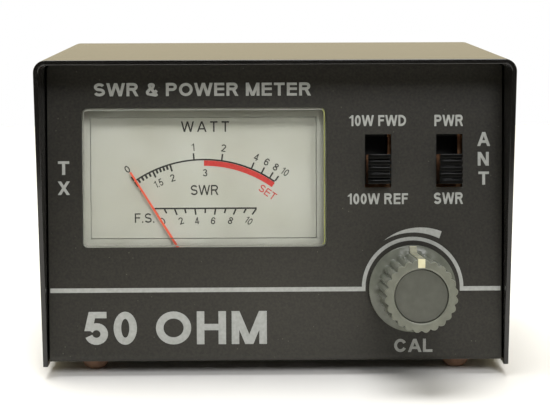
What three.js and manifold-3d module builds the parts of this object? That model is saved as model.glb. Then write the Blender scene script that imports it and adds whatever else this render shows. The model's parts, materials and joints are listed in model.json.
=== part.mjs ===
// SWR and power meter for a radio station: a bent-steel case whose front panel leans back under the
// cover's hood, a moving-coil meter, two slide switches, a calibration control and two coaxial sockets
// on the back.
//
// Millimetres. +X is to the right seen from the front, the front faces -Y and +Z is up. The origin is
// under the middle of the object's outer box, on the surface that the feet stand on.

import * as THREE from "three";
import { mergeVertices } from "three/addons/utils/BufferGeometryUtils.js";
import Module from "manifold-3d";

const wasm = await Module();
wasm.setup();

// ---------------------------------------------------------------- sizes

// Clearances that every fit below is made with.
const SEAT = 0.1; // between two pieces that rest on each other
const LOOSE = 0.3; // round a piece that drops into a hole or a recess
const RUNNING = 0.1; // round a shaft that turns in its bore

const ROUND = 36; // sides of a round piece
const SMALL_ROUND = 18; // sides of a small one

// The case: an inverted U cover over a bent chassis.
const CASE_WIDTH = 115;
const CASE_HEIGHT = 75.4;
const CASE_DEPTH = 66.2;
const SHEET = 1.2;
const COVER_BEND = 3; // outer radius of the cover's top corners
const CHASSIS_BEND = 1.8; // setback of the chassis's rounded bends
const PANEL_LEAN = THREE.MathUtils.degToRad(8.2);
const PANEL_RECESS = 1.4; // panel's foot behind the cover's front edge
const REAR_RECESS = 1.5; // rear panel in front of the cover's back edge
const CHASSIS_LIFT = 0.6; // underside of the chassis above the cover's bottom edge
const FLANGE_HEIGHT = 10; // the chassis's side flanges, which take the cover screws
const FLANGE_SETBACK = 9; // their ends from the front and rear panels

const COVER_SCREW_RADIUS = 1.5;
const COVER_SCREW_HEAD = 2.9;
const COVER_SCREW_HEAD_HEIGHT = 1.8;
const COVER_SCREW_LENGTH = 5;
const COVER_SCREW_INSET = 15; // from the cover's front and back edges
const COVER_SCREW_HEIGHT = 6.6;

const FOOT_RADIUS = 3.4;
const FOOT_SOLE = 1.8; // radius of the flat that stands on the table
const FOOT_DROP = 3; // below the cover's bottom edge
const FOOT_STEM = 1.6;
const FOOT_BULB = 2.4; // the stem's end, which holds the foot in its hole
const FOOT_BULB_HEIGHT = 2.4; // above the chassis's floor
const FOOT_SIDE_INSET = 11.8;
const FOOT_END_INSET = 10;

// The meter.
const WINDOW_MARGIN = 8.4; // window to the panel's left edge
const CONTROL_BAY = 43.4; // window to the panel's right edge, where the controls are
const WINDOW_HEADROOM = 11.1; // window to the panel's top edge
const WINDOW_HEIGHT = 34.4;
const WINDOW_CORNER = 1.3; // setback of its rounded corners
const WINDOW_SET = 0.3; // clear face behind the panel's face
const CLEAR_WALL = 1.4; // the moulded clear cover's thickness
const METER_BORDER = 2.9; // housing beyond the window at the left, right and top
const METER_FLOOR_GAP = 0.9; // between the iron ring and the housing's lower wall
const METER_DEPTH = 20;
const METER_WALL = 1.5;
const PIVOT_BELOW = 11.1; // needle's axis below the window
const DIAL_DEPTH = 5; // dial's face behind the panel's face
const DIAL_THICKNESS = 0.5;
const DIAL_BELOW = 3.6; // dial's lower edge below the window
const DIAL_EAR_WIDTH = 11;
const DIAL_EAR_DROP = 5; // ears below the dial's lower edge, for its screws
const NEEDLE_REST = THREE.MathUtils.degToRad(32); // left of the vertical
const NEEDLE_LENGTH = 35;
const NEEDLE_TAIL = 7;
const NEEDLE_WIDTH = 0.62;
const NEEDLE_TIP = 0.45;
const NEEDLE_THICKNESS = 0.3;
const NEEDLE_DEPTH = 3.6; // needle's face behind the panel's face
const NEEDLE_HUB = 1.7;
const SPINDLE_RADIUS = 0.6;
const CORE_RADIUS = 4.8;
const CORE_LENGTH = 8.3;
const CORE_ARM = 3; // width of the arms that hold the core
const COIL_WIRE = 1; // thickness of the wound coil
const COIL_GAP = 0.7; // between the coil and the iron on either side of it
const YOKE_WALL = 2.4;
const BRIDGE_WIDTH = 4;
const BRIDGE_THICKNESS = 1.2;
const HAIRSPRING_TURNS = 3;
const TERMINAL_RADIUS = 1.5;
const TERMINAL_SPACING = 32;

// The slide switches.
const SLOT_WIDTH = 6.5;
const SLOT_LENGTH = 13.1;
const SLOT_CENTRE = 49.7; // above the panel's foot
const SLOT_INSETS = { fwd_ref: 30.6, pwr_swr: 13 }; // from the panel's right edge
const HANDLE_SIDE_GAP = 0.5; // between the handle and the slot, each side
const HANDLE_LENGTH = 7.2;
const HANDLE_REST = 0.95; // handle above the slot's lower end at rest
const HANDLE_PROUD = 4;
const HANDLE_RIDGES = 5;
const HANDLE_GROOVE = 0.62; // width of the grooves between the ridges
const HANDLE_GROOVE_DEPTH = 0.8;
const SWITCH_SET = 6; // switch frame behind the panel's face
const SWITCH_FRAME_WIDTH = 9.4;
const SWITCH_FRAME_LENGTH = 24;
const SWITCH_FRAME_THICKNESS = 0.5;
const SWITCH_OPENING_INSET = 0.35; // frame's opening smaller than the panel's slot, each side
const SWITCH_BODY_WALL = 1.2;
const SWITCH_BODY_DEPTH = 5.8;
const CONTACT_BASE = 0.8;
const CONTACT_PIN = 0.5;
const CONTACT_PITCH = 4;
const BOARD_THICKNESS = 1.6;
const SWITCH_BOARD_MARGIN = 4; // board beyond the switch frames
const POST_RADIUS = 2.4;
const POST_BORE = 1.5;
const POST_SPACING = 24;
const BOARD_SCREW_RADIUS = 1.2;
const BOARD_SCREW_HEAD = 2.3;
const BOARD_SCREW_LENGTH = 6;

// The calibration control.
const CONTROL_INSET = 22.3; // its shaft from the panel's right edge
const CONTROL_HEIGHT = 18.2; // its shaft above the panel's foot
const POT_RADIUS = 8.5;
const POT_DEPTH = 10;
const BUSHING_RADIUS = 3.5;
const BUSHING_LENGTH = 5.6; // in front of the panel
const SHAFT_RADIUS = 2.4;
const SHAFT_LENGTH = 16.4; // in front of the panel
const WASHER_RADIUS = 6;
const WASHER_THICKNESS = 0.5;
const NUT_WALL = 2.1; // from the bushing to the corners of its nut
const NUT_THICKNESS = 2;
const KNOB_GAP = 0.9; // knob's skirt in front of the panel
const SKIRT_RIM = 1.2;
const SKIRT_SLOPE = 0.9;
const GRIP_RADIUS = 8.9; // over the tips of the ribs
const SKIRT_LIP = 1.85; // skirt beyond the grip
const GRIP_RIBS = 24;
const FLUTE_DEPTH = 0.65;
const GRIP_TAPER = 0.03; // share of the radius lost from skirt to face
const KNOB_FACE = 20; // knob's face in front of the panel
const KNOB_RIM = 2.55; // from the tips of the ribs to the cap in the face
const KNOB_CAP_SET = 0.6; // cap's face behind the rim's
const KNOB_CAP_THICKNESS = 1.2;
const POINTER_WIDTH = 1.7;
const POINTER_DEPTH = 1;

// The coaxial sockets and the coupler between them.
const SOCKET_SPACING = 60;
const SOCKET_HEIGHT = 40; // above the cover's bottom edge
const SOCKET_THREAD = 7.94;
const SOCKET_LENGTH = 13.5; // outside the rear panel
const SOCKET_INSIDE = 8; // inside it
const SOCKET_BORE = 6.2;
const SOCKET_RECESS = 5; // insulator's face behind the socket's rim
const SOCKET_FLANGE_LIP = 3.56; // flange beyond the thread
const SOCKET_FLANGE_THICKNESS = 2.2;
const SOCKET_TEETH = 4;
const TOOTH_GAP = 2.2;
const TOOTH_DEPTH = 1;
const SOCKET_NUT_WALL = 3.06; // from the thread to the corners of its nut
const SOCKET_NUT_THICKNESS = 3;
const CONTACT_RADIUS = 2.6;
const CONTACT_BORE = 2;
const CONTACT_BORE_DEPTH = 12;
const CONTACT_TAIL = 12; // its rear end inside the rear panel's face
const LINE_WIDTH = 3;
const LINE_THICKNESS = 1.6;
const SHIELD_HEIGHT = 18;
const SHIELD_DEPTH = 12;
const SHIELD_SHEET = 0.8;
const SHIELD_MARGIN = 8; // shield beyond the socket's axis
const TRIMMER_RADIUS = 3.5;
const TRIMMER_HEIGHT = 4.2;
const TRIMMER_SPACING = 36;

// ---------------------------------------------------------------- places worked out from the sizes

const panelWidth = CASE_WIDTH - 2 * (SHEET + LOOSE);
const panelTop = CASE_HEIGHT - SHEET - LOOSE;
const panelLength = (panelTop - CHASSIS_LIFT) / Math.cos(PANEL_LEAN);
const rearFace = CASE_DEPTH - REAR_RECESS;
const panelBack = -SHEET - SEAT; // where what rests on the panel's back begins

const windowSides = [WINDOW_MARGIN - panelWidth / 2, panelWidth / 2 - CONTROL_BAY];
const windowEnds = [panelLength - WINDOW_HEADROOM - WINDOW_HEIGHT, panelLength - WINDOW_HEADROOM];
const pivot = [(windowSides[0] + windowSides[1]) / 2, windowEnds[0] - PIVOT_BELOW];

const coilInner = CORE_RADIUS + COIL_GAP;
const yokeInner = coilInner + COIL_WIRE + COIL_GAP;
const yokeOuter = yokeInner + YOKE_WALL;

const meterSides = grown(windowSides, METER_BORDER);
const meterFloor = pivot[1] - yokeOuter - METER_FLOOR_GAP - METER_WALL;
const meterEnds = [meterFloor, windowEnds[1] + METER_BORDER];
const clearBack = panelBack - CLEAR_WALL;
const housingFront = clearBack - SEAT;
const housingFloor = housingFront - METER_DEPTH + METER_WALL;
const rearBridgeBack = housingFloor + SEAT;
const coreBack = rearBridgeBack + BRIDGE_THICKNESS + COIL_WIRE + 2 * COIL_GAP;
const coreFront = coreBack + CORE_LENGTH;
const coilFront = coreFront + COIL_GAP + COIL_WIRE;
const frontBridgeBack = coilFront + COIL_GAP;

const switchBodyFront = -SWITCH_SET - SWITCH_FRAME_THICKNESS - SEAT;
const contactBaseFront = switchBodyFront - SWITCH_BODY_DEPTH - SEAT;
const switchBoardFront = contactBaseFront - CONTACT_BASE - SEAT;
const handleWidth = SLOT_WIDTH - 2 * HANDLE_SIDE_GAP;
const openingWidth = SLOT_WIDTH - 2 * SWITCH_OPENING_INSET;
const openingLength = SLOT_LENGTH - 2 * SWITCH_OPENING_INSET;
const postAcross = panelWidth / 2 - (SLOT_INSETS.fwd_ref + SLOT_INSETS.pwr_swr) / 2;

const control = [panelWidth / 2 - CONTROL_INSET, CONTROL_HEIGHT];
const gripStart = KNOB_GAP + SKIRT_RIM + SKIRT_SLOPE;
const nutFront = SEAT * 2 + WASHER_THICKNESS + NUT_THICKNESS;
const nutRadius = BUSHING_RADIUS + NUT_WALL;
const knobHollow = Math.max(WASHER_RADIUS, nutRadius) + 2 * LOOSE;
const skirtRadius = GRIP_RADIUS + SKIRT_LIP;
const capRadius = GRIP_RADIUS - KNOB_RIM;

const shieldBack = -CONTACT_TAIL + COIL_GAP;
const couplerBoardFront = shieldBack - SHIELD_DEPTH - SEAT;

// ---------------------------------------------------------------- shapes

// A range [from, to] made longer by the same amount at both ends.
function grown([from, to], by) {
  return [from - by, to + by];
}

// A range of the given length about its middle.
function about(middle, length) {
  return [middle - length / 2, middle + length / 2];
}

function block(xs, ys, zs) {
  const [w, h, d] = [xs, ys, zs].map(([from, to]) => to - from);
  const centre = [xs, ys, zs].map(([from, to]) => (from + to) / 2);
  return new THREE.BoxGeometry(w, h, d).translate(...centre);
}

// A round bar along Z.
function rod(radius, [from, to], [x, y] = [0, 0], sides = ROUND) {
  return new THREE.CylinderGeometry(radius, radius, to - from, sides)
    .rotateX(Math.PI / 2)
    .translate(x, y, (from + to) / 2);
}

// A piece turned about Z from [radius, z] points that start and end on the axis.
function turned(profile, sides = ROUND) {
  const points = profile.map(([r, z]) => new THREE.Vector2(r, z));
  return new THREE.LatheGeometry(points, sides).rotateX(Math.PI / 2);
}

// A closed outline through [x, y, setback] corners; a corner with a setback is rounded.
function outline(corners) {
  const shape = new THREE.Shape();
  const at = (i) => new THREE.Vector2(...corners.at(i % corners.length).slice(0, 2));
  corners.forEach(([x, y, setback = 0], i) => {
    const corner = at(i);
    const towards = (other) => other.sub(corner).setLength(setback).add(corner);
    const enter = towards(at(i - 1));
    const leave = towards(at(i + 1));
    if (i === 0) shape.moveTo(enter.x, enter.y);
    else shape.lineTo(enter.x, enter.y);
    if (setback) shape.quadraticCurveTo(x, y, leave.x, leave.y);
  });
  shape.closePath();
  return shape;
}

// A block along Z with rounded upright edges.
function roundedBlock([left, right], [bottom, top], depth, setback) {
  const shape = outline([
    [left, bottom, setback],
    [right, bottom, setback],
    [right, top, setback],
    [left, top, setback],
  ]);
  return extruded(shape, depth);
}

function extruded(shape, [from, to]) {
  const settings = { depth: to - from, bevelEnabled: false, curveSegments: 5 };
  return new THREE.ExtrudeGeometry(shape, settings).translate(0, 0, from);
}

function toSolid(geometry) {
  const bare = geometry.clone();
  bare.deleteAttribute("normal");
  bare.deleteAttribute("uv");
  const merged = mergeVertices(bare);
  const mesh = new wasm.Mesh({
    numProp: 3,
    vertProperties: new Float32Array(merged.attributes.position.array),
    triVerts: new Uint32Array(merged.index.array),
  });
  return new wasm.Manifold(mesh);
}

function toGeometry(solid) {
  const mesh = solid.getMesh();
  const geometry = new THREE.BufferGeometry();
  geometry.setAttribute("position", new THREE.BufferAttribute(mesh.vertProperties, 3));
  geometry.setIndex(new THREE.BufferAttribute(mesh.triVerts, 1));
  geometry.computeVertexNormals();
  return geometry;
}

// One piece from several that touch, then with others cut out of it.
function carved(joined, cuts = []) {
  const [first, ...rest] = joined.map(toSolid);
  const whole = rest.reduce((sum, piece) => sum.add(piece), first);
  return toGeometry(cuts.map(toSolid).reduce((left, cut) => left.subtract(cut), whole));
}

// A pan-head screw along Z with its head's underside at z = 0, its shank below and a cross recess.
function screw(radius, headRadius, headHeight, length) {
  const body = turned(
    [
      [0, -length],
      [radius * 0.7, -length],
      [radius, -length + radius / 2],
      [radius, 0],
      [headRadius, 0],
      [headRadius, headHeight * 0.4],
      [headRadius * 0.6, headHeight * 0.92],
      [0, headHeight],
    ],
    SMALL_ROUND,
  );
  const arm = headRadius * 0.55;
  const thin = headRadius * 0.11;
  const depth = [headHeight * 0.4, headHeight * 1.1];
  const cross = [block([-arm, arm], [-thin, thin], depth), block([-thin, thin], [-arm, arm], depth)];
  return carved([body], cross);
}

// ---------------------------------------------------------------- finishes

function finish(color, roughness, metalness = 0, opacity = 1) {
  const transparent = opacity < 1;
  return new THREE.MeshStandardMaterial({ color, roughness, metalness, opacity, transparent });
}

const finishes = {
  coverPaint: finish(0x23211e, 0.4),
  panelPaint: finish(0x33312b, 0.6),
  zincSteel: finish(0xb9b6ad, 0.35, 1),
  blackScrew: finish(0x1d1d1d, 0.4, 0.6),
  brownRubber: finish(0x6b3a28, 0.8),
  clearPlastic: finish(0xffffff, 0.05, 0, 0.3),
  blackPlastic: finish(0x1a1a1a, 0.5),
  dialCard: finish(0xbec0b9, 0.55),
  needleRed: finish(0xd9482f, 0.5),
  copper: finish(0xb56a42, 0.35, 1),
  brass: finish(0xc2a15a, 0.3, 1),
  magnet: finish(0x4a4a4c, 0.5, 0.8),
  phenolic: finish(0x9c6f45, 0.7),
  switchBlack: finish(0x161616, 0.45),
  boardGreen: finish(0x5e6b34, 0.6),
  knobGrey: finish(0x676c60, 0.4),
  knobCap: finish(0x5b5c55, 0.3),
  pointerCream: finish(0xe4dfbc, 0.4),
  nickel: finish(0xc9c7c0, 0.2, 1),
  whiteInsulator: finish(0xe9e6da, 0.4),
  silver: finish(0xd8d6cf, 0.2, 1),
  trimmerBlue: finish(0x3c6c9a, 0.5),
};

function add(group, name, geometry, material, [x, y, z] = [0, 0, 0]) {
  const mesh = new THREE.Mesh(geometry, material);
  mesh.name = name;
  mesh.position.set(x, y, z);
  group.add(mesh);
  return mesh;
}

// ---------------------------------------------------------------- case

// X positions of the feet or the screws on both sides, with Y positions near both ends.
function corners(across, [front, back]) {
  return [
    ["front_left", -across, front],
    ["front_right", across, front],
    ["rear_left", -across, back],
    ["rear_right", across, back],
  ];
}

// Holes through both side walls for the cover screws.
function sideHoles(radius) {
  const reach = CASE_WIDTH / 2 + LOOSE;
  return [COVER_SCREW_INSET, CASE_DEPTH - COVER_SCREW_INSET].map((y) =>
    rod(radius, [-reach, reach], [0, 0], SMALL_ROUND)
      .rotateY(Math.PI / 2)
      .translate(0, y, COVER_SCREW_HEIGHT),
  );
}

function coverGeometry() {
  const w = CASE_WIDTH / 2;
  const inner = COVER_BEND - SHEET;
  const section = outline([
    [-w, 0],
    [-w + SHEET, 0],
    [-w + SHEET, CASE_HEIGHT - SHEET, inner],
    [w - SHEET, CASE_HEIGHT - SHEET, inner],
    [w - SHEET, 0],
    [w, 0],
    [w, CASE_HEIGHT, COVER_BEND],
    [-w, CASE_HEIGHT, COVER_BEND],
  ]);
  const shell = extruded(section, [-CASE_DEPTH, 0]).rotateX(Math.PI / 2);
  return carved([shell], sideHoles(COVER_SCREW_RADIUS + LOOSE));
}

// The chassis: leaning panel, floor and rear panel from one bent sheet, with two side flanges.
function chassisGeometry(panelMatrix, rearMatrix) {
  const lean = new THREE.Vector2(Math.sin(PANEL_LEAN), Math.cos(PANEL_LEAN));
  const foot = [PANEL_RECESS, CHASSIS_LIFT];
  const top = [foot[0] + lean.x * panelLength, foot[1] + lean.y * panelLength];
  const floor = CHASSIS_LIFT + SHEET;
  const innerFoot = foot[0] + SHEET / lean.y + SHEET * (lean.x / lean.y);
  const section = outline([
    [...foot, CHASSIS_BEND],
    [rearFace, CHASSIS_LIFT, CHASSIS_BEND],
    [rearFace, panelTop],
    [rearFace - SHEET, panelTop],
    [rearFace - SHEET, floor, CHASSIS_BEND / 2],
    [innerFoot, floor, CHASSIS_BEND / 2],
    [top[0] + SHEET * lean.y, top[1] - SHEET * lean.x],
    top,
  ]);
  // The section is drawn in Y and Z and extruded along X.
  const sheet = extruded(section, about(0, panelWidth)).rotateY(Math.PI / 2).rotateX(Math.PI / 2);
  const flangeEnds = [innerFoot + FLANGE_SETBACK, rearFace - FLANGE_SETBACK];
  const flangeRise = [CHASSIS_LIFT + SHEET / 2, CHASSIS_LIFT + FLANGE_HEIGHT];
  const flanges = [-1, 1].map((side) => {
    const reach = [(panelWidth / 2 - SHEET) * side, (panelWidth / 2) * side].sort((a, b) => a - b);
    return block(reach, flangeEnds, flangeRise);
  });
  const through = [-2 * SHEET, SHEET];
  const panelCuts = [
    roundedBlock(windowSides, windowEnds, through, WINDOW_CORNER),
    ...Object.values(SLOT_INSETS).map((inset) => slotBlock(inset, through)),
    rod(BUSHING_RADIUS + LOOSE, through, control),
  ].map((cut) => cut.applyMatrix4(panelMatrix));
  const rearCuts = [-1, 1].map((side) => {
    const axis = [(side * SOCKET_SPACING) / 2, SOCKET_HEIGHT];
    return rod(SOCKET_THREAD + LOOSE, through, axis).applyMatrix4(rearMatrix);
  });
  const footHoles = footPlaces().map(([, x, y]) =>
    rod(FOOT_STEM + LOOSE, [0, floor + SHEET], [x, y], SMALL_ROUND),
  );
  // Chamfers on the upper corners of both panels clear the cover's rounded bends.
  const chamfer = about(0, COVER_BEND - SHEET);
  const chamfers = [-1, 1].map((side) =>
    block(chamfer, [0, CASE_DEPTH], chamfer)
      .rotateY(Math.PI / 4)
      .translate((side * panelWidth) / 2, 0, panelTop),
  );
  const screwHoles = sideHoles(COVER_SCREW_RADIUS + LOOSE);
  const cuts = [...panelCuts, ...rearCuts, ...footHoles, ...screwHoles, ...chamfers];
  return carved([sheet, ...flanges], cuts);
}

function slotBlock(inset, depth) {
  const middle = panelWidth / 2 - inset;
  return block(about(middle, SLOT_WIDTH), about(SLOT_CENTRE, SLOT_LENGTH), depth);
}

function footPlaces() {
  return corners(CASE_WIDTH / 2 - FOOT_SIDE_INSET, [FOOT_END_INSET, CASE_DEPTH - FOOT_END_INSET]);
}

// A domed rubber foot with a stem and a bulb that snaps through the floor; z = 0 is the cover's edge.
function footGeometry() {
  const seat = CHASSIS_LIFT - SEAT;
  const above = CHASSIS_LIFT + SHEET + SEAT;
  const dome = [0, 1, 2, 3, 4].map((i) => {
    const turn = (i / 4) * (Math.PI / 2);
    const radius = FOOT_SOLE + (FOOT_RADIUS - FOOT_SOLE) * Math.sin(turn);
    return [radius, -FOOT_DROP + (FOOT_DROP * 0.8) * (1 - Math.cos(turn))];
  });
  return turned(
    [
      [0, -FOOT_DROP],
      ...dome,
      [FOOT_RADIUS, seat],
      [FOOT_STEM, seat],
      [FOOT_STEM, above],
      [FOOT_BULB, above],
      [FOOT_BULB, above + FOOT_BULB_HEIGHT / 4],
      [FOOT_STEM / 2, above + FOOT_BULB_HEIGHT],
      [0, above + FOOT_BULB_HEIGHT],
    ],
    SMALL_ROUND + 6,
  );
}

function addCase(group, panel, rear) {
  add(group, "cover", coverGeometry(), finishes.coverPaint);
  add(group, "chassis", chassisGeometry(panel.matrix, rear.matrix), finishes.panelPaint);
  const shank = screw(COVER_SCREW_RADIUS, COVER_SCREW_HEAD, COVER_SCREW_HEAD_HEIGHT, COVER_SCREW_LENGTH);
  const ends = [COVER_SCREW_INSET, CASE_DEPTH - COVER_SCREW_INSET];
  for (const [place, x, y] of corners(CASE_WIDTH / 2 + SEAT, ends)) {
    const mesh = add(group, "cover_screw_" + place, shank, finishes.blackScrew, [x, y, COVER_SCREW_HEIGHT]);
    mesh.rotation.y = (Math.sign(x) * Math.PI) / 2;
  }
  const foot = footGeometry();
  for (const [place, x, y] of footPlaces()) {
    add(group, "foot_" + place, foot, finishes.brownRubber, [x, y, 0]);
  }
}

// ---------------------------------------------------------------- meter, in the panel's own frame

// The moulded clear front: a raised window that fills the panel's opening, on a flange behind it.
function clearCoverGeometry() {
  const raised = [grown(windowSides, -LOOSE), grown(windowEnds, -LOOSE)];
  const hollow = raised.map((range) => grown(range, -CLEAR_WALL));
  const flange = block(meterSides, meterEnds, [clearBack, panelBack]);
  const window = roundedBlock(...raised, [clearBack, -WINDOW_SET], WINDOW_CORNER - LOOSE);
  return carved([flange, window], [block(...hollow, [clearBack - 1, -WINDOW_SET - CLEAR_WALL])]);
}

function terminalPlaces() {
  return [-1, 1].map((side) => [pivot[0] + (side * TERMINAL_SPACING) / 2, pivot[1]]);
}

function dialScrewPlaces() {
  const sides = grown(meterSides, -METER_WALL - DIAL_EAR_WIDTH / 2 - LOOSE);
  return sides.map((x) => [x, windowEnds[0] - DIAL_BELOW - DIAL_EAR_DROP / 2]);
}

// The black tray behind it, with two posts for the dial.
function housingGeometry() {
  const depth = [housingFront - METER_DEPTH, housingFront];
  const inside = [meterSides, meterEnds].map((range) => grown(range, -METER_WALL));
  const postTop = -DIAL_DEPTH - DIAL_THICKNESS - SEAT;
  const posts = dialScrewPlaces().map((at) => rod(2.4, [housingFloor - SEAT, postTop], at, SMALL_ROUND));
  const bores = dialScrewPlaces().map((at) => rod(1.2, [postTop - 6, postTop + 1], at, SMALL_ROUND));
  const holes = terminalPlaces().map((at) =>
    rod(TERMINAL_RADIUS + LOOSE, [depth[0] - 1, housingFloor + 1], at, SMALL_ROUND),
  );
  const tray = carved([block(meterSides, meterEnds, depth)], [block(...inside, [housingFloor, 1])]);
  return carved([tray, ...posts], [...bores, ...holes]);
}

function dialGeometry() {
  const [left, right] = grown(meterSides, -METER_WALL - LOOSE);
  const top = meterEnds[1] - METER_WALL - LOOSE;
  const bottom = windowEnds[0] - DIAL_BELOW;
  const ears = bottom - DIAL_EAR_DROP;
  const shape = outline([
    [left, top],
    [left, ears],
    [left + DIAL_EAR_WIDTH, ears, 1],
    [left + DIAL_EAR_WIDTH, bottom],
    [right - DIAL_EAR_WIDTH, bottom],
    [right - DIAL_EAR_WIDTH, ears, 1],
    [right, ears],
    [right, top],
  ]);
  const plate = extruded(shape, [-DIAL_DEPTH - DIAL_THICKNESS, -DIAL_DEPTH]);
  const holes = dialScrewPlaces().map((at) => rod(1.2, [-DIAL_DEPTH - 1, 0], at, SMALL_ROUND));
  return carved([plate], holes);
}

// The needle lies along +Y from its axis at the origin, and its group turns it to where it rests.
function needleGeometry() {
  const back = -NEEDLE_DEPTH - NEEDLE_THICKNESS;
  const root = NEEDLE_WIDTH / 2;
  const tip = NEEDLE_TIP / 2;
  const blade = outline([
    [-root, -NEEDLE_TAIL],
    [root, -NEEDLE_TAIL],
    [root, 0],
    [tip, NEEDLE_LENGTH],
    [-tip, NEEDLE_LENGTH],
    [-root, 0],
  ]);
  const weight = block(about(0, 3 * NEEDLE_WIDTH), [-NEEDLE_TAIL, 1 - NEEDLE_TAIL], [back, -NEEDLE_DEPTH]);
  const hub = rod(NEEDLE_HUB, [back - 0.7, -NEEDLE_DEPTH], [0, 0], SMALL_ROUND);
  return carved([extruded(blade, [back, -NEEDLE_DEPTH]), weight, hub]);
}

// A wound rectangular coil on its spindle.
function coilGeometry() {
  const outer = coilInner + COIL_WIRE;
  const coilBack = coreBack - COIL_GAP - COIL_WIRE;
  const ring = block([-outer, outer], about(0, 2.4), [coilBack, coilFront]);
  const gap = block([-coilInner, coilInner], about(0, 4), [coilBack + COIL_WIRE, coilFront - COIL_WIRE]);
  const spindleFront = -NEEDLE_DEPTH - NEEDLE_THICKNESS - 0.7 - SEAT;
  const spindle = rod(SPINDLE_RADIUS, [rearBridgeBack + SEAT, spindleFront], [0, 0], SMALL_ROUND);
  return carved([carved([ring], [gap]), spindle]);
}

// The magnet inside the coil, with two arms that hold it to the ring of iron round it.
function coreGeometry() {
  const length = [coreBack, coreFront];
  const reach = Math.sqrt((yokeInner - 2 * SEAT) ** 2 - (CORE_ARM / 2) ** 2);
  const arms = block(about(0, CORE_ARM), [-reach, reach], length);
  const bore = rod(SPINDLE_RADIUS + LOOSE, grown(length, 1), [0, 0], SMALL_ROUND);
  return carved([rod(CORE_RADIUS, length), arms], [bore]);
}

function yokeGeometry() {
  const length = [coreBack, coreFront];
  return carved([rod(yokeOuter, length)], [rod(yokeInner, grown(length, 1))]);
}

// A bar across the front with a leg at each end, and the spindle's bearing in the middle.
function frontBridgeGeometry() {
  const reach = yokeOuter + LOOSE + BRIDGE_THICKNESS;
  const bar = [frontBridgeBack, frontBridgeBack + BRIDGE_THICKNESS];
  const width = about(0, BRIDGE_WIDTH);
  const legs = [-1, 1].map((side) => {
    const across = [side * (reach - BRIDGE_THICKNESS), side * reach].sort((a, b) => a - b);
    return block(across, width, [housingFloor + SEAT, bar[1]]);
  });
  const bearing = rod(SPINDLE_RADIUS + RUNNING, grown(bar, 1), [0, 0], SMALL_ROUND);
  return carved([block([-reach, reach], width, bar), ...legs], [bearing]);
}

// A bar across the back with a pad under the iron ring at each end.
function rearBridgeGeometry() {
  const reach = yokeOuter;
  const bar = [rearBridgeBack, rearBridgeBack + BRIDGE_THICKNESS];
  const width = about(0, BRIDGE_WIDTH);
  const pads = [-1, 1].map((side) => {
    const along = [side * (yokeInner + SEAT), side * reach].sort((a, b) => a - b);
    return block(width, along, [rearBridgeBack, coreBack - SEAT]);
  });
  const bearing = rod(SPINDLE_RADIUS + RUNNING, grown(bar, 1), [0, 0], SMALL_ROUND);
  return carved([block(width, [-reach, reach], bar), ...pads], [bearing]);
}

class Spiral extends THREE.Curve {
  constructor(inner, outer, turns, z) {
    super();
    Object.assign(this, { inner, outer, turns, z });
  }
  getPoint(t, target = new THREE.Vector3()) {
    const radius = this.inner + (this.outer - this.inner) * t;
    const turn = t * this.turns * 2 * Math.PI;
    return target.set(radius * Math.cos(turn), radius * Math.sin(turn), this.z);
  }
}

function hairspringGeometry(z) {
  const path = new Spiral(SPINDLE_RADIUS + 0.5, CORE_RADIUS - 1, HAIRSPRING_TURNS, z);
  const strip = outline([
    [-0.15, -0.08],
    [0.15, -0.08],
    [0.15, 0.08],
    [-0.15, 0.08],
  ]);
  const settings = { steps: 16 * HAIRSPRING_TURNS, extrudePath: path };
  return carved([new THREE.ExtrudeGeometry(strip, settings)]);
}

function addMeter(panel) {
  add(panel, "meter_cover", clearCoverGeometry(), finishes.clearPlastic);
  add(panel, "meter_housing", housingGeometry(), finishes.blackPlastic);
  add(panel, "dial_plate", dialGeometry(), finishes.dialCard);
  const dialScrew = screw(0.9, 1.7, 0.8, 4);
  dialScrewPlaces().forEach((at, i) => {
    const name = "dial_screw_" + ["left", "right"][i];
    add(panel, name, dialScrew, finishes.brass, [...at, -DIAL_DEPTH + SEAT]);
  });
  const stud = screw(TERMINAL_RADIUS, 3, 2, METER_WALL + 4);
  terminalPlaces().forEach((at, i) => {
    const name = "meter_terminal_" + ["left", "right"][i];
    const mesh = add(panel, name, stud, finishes.brass, [...at, housingFront - METER_DEPTH - SEAT]);
    mesh.rotation.x = Math.PI;
  });

  const movement = new THREE.Group();
  movement.position.set(...pivot, 0);
  panel.add(movement);
  add(movement, "magnet_core", coreGeometry(), finishes.magnet);
  add(movement, "yoke_ring", yokeGeometry(), finishes.zincSteel);
  add(movement, "front_bridge", frontBridgeGeometry(), finishes.brass);
  add(movement, "rear_bridge", rearBridgeGeometry(), finishes.brass);
  const frontCoil = coilFront + COIL_GAP / 2;
  const rearCoil = coreBack - COIL_WIRE - 1.5 * COIL_GAP;
  add(movement, "front_hairspring", hairspringGeometry(frontCoil), finishes.copper);
  add(movement, "rear_hairspring", hairspringGeometry(rearCoil), finishes.copper);

  const swinging = new THREE.Group();
  swinging.rotation.z = NEEDLE_REST;
  movement.add(swinging);
  add(swinging, "needle", needleGeometry(), finishes.needleRed);
  add(swinging, "moving_coil", coilGeometry(), finishes.copper);
}

// ---------------------------------------------------------------- slide switches, in the panel's frame

// Each switch piece is drawn about the middle of its slot.
function switchFrameGeometry() {
  const depth = [-SWITCH_SET - SWITCH_FRAME_THICKNESS, -SWITCH_SET];
  const plate = block(about(0, SWITCH_FRAME_WIDTH), about(0, SWITCH_FRAME_LENGTH), depth);
  const opening = block(about(0, openingWidth), about(0, openingLength), grown(depth, 1));
  const fixings = [-1, 1].map((end) =>
    rod(1.1, grown(depth, 1), [0, (end * (SWITCH_FRAME_LENGTH + openingLength)) / 4], SMALL_ROUND),
  );
  return carved([plate], [opening, ...fixings]);
}

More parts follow.
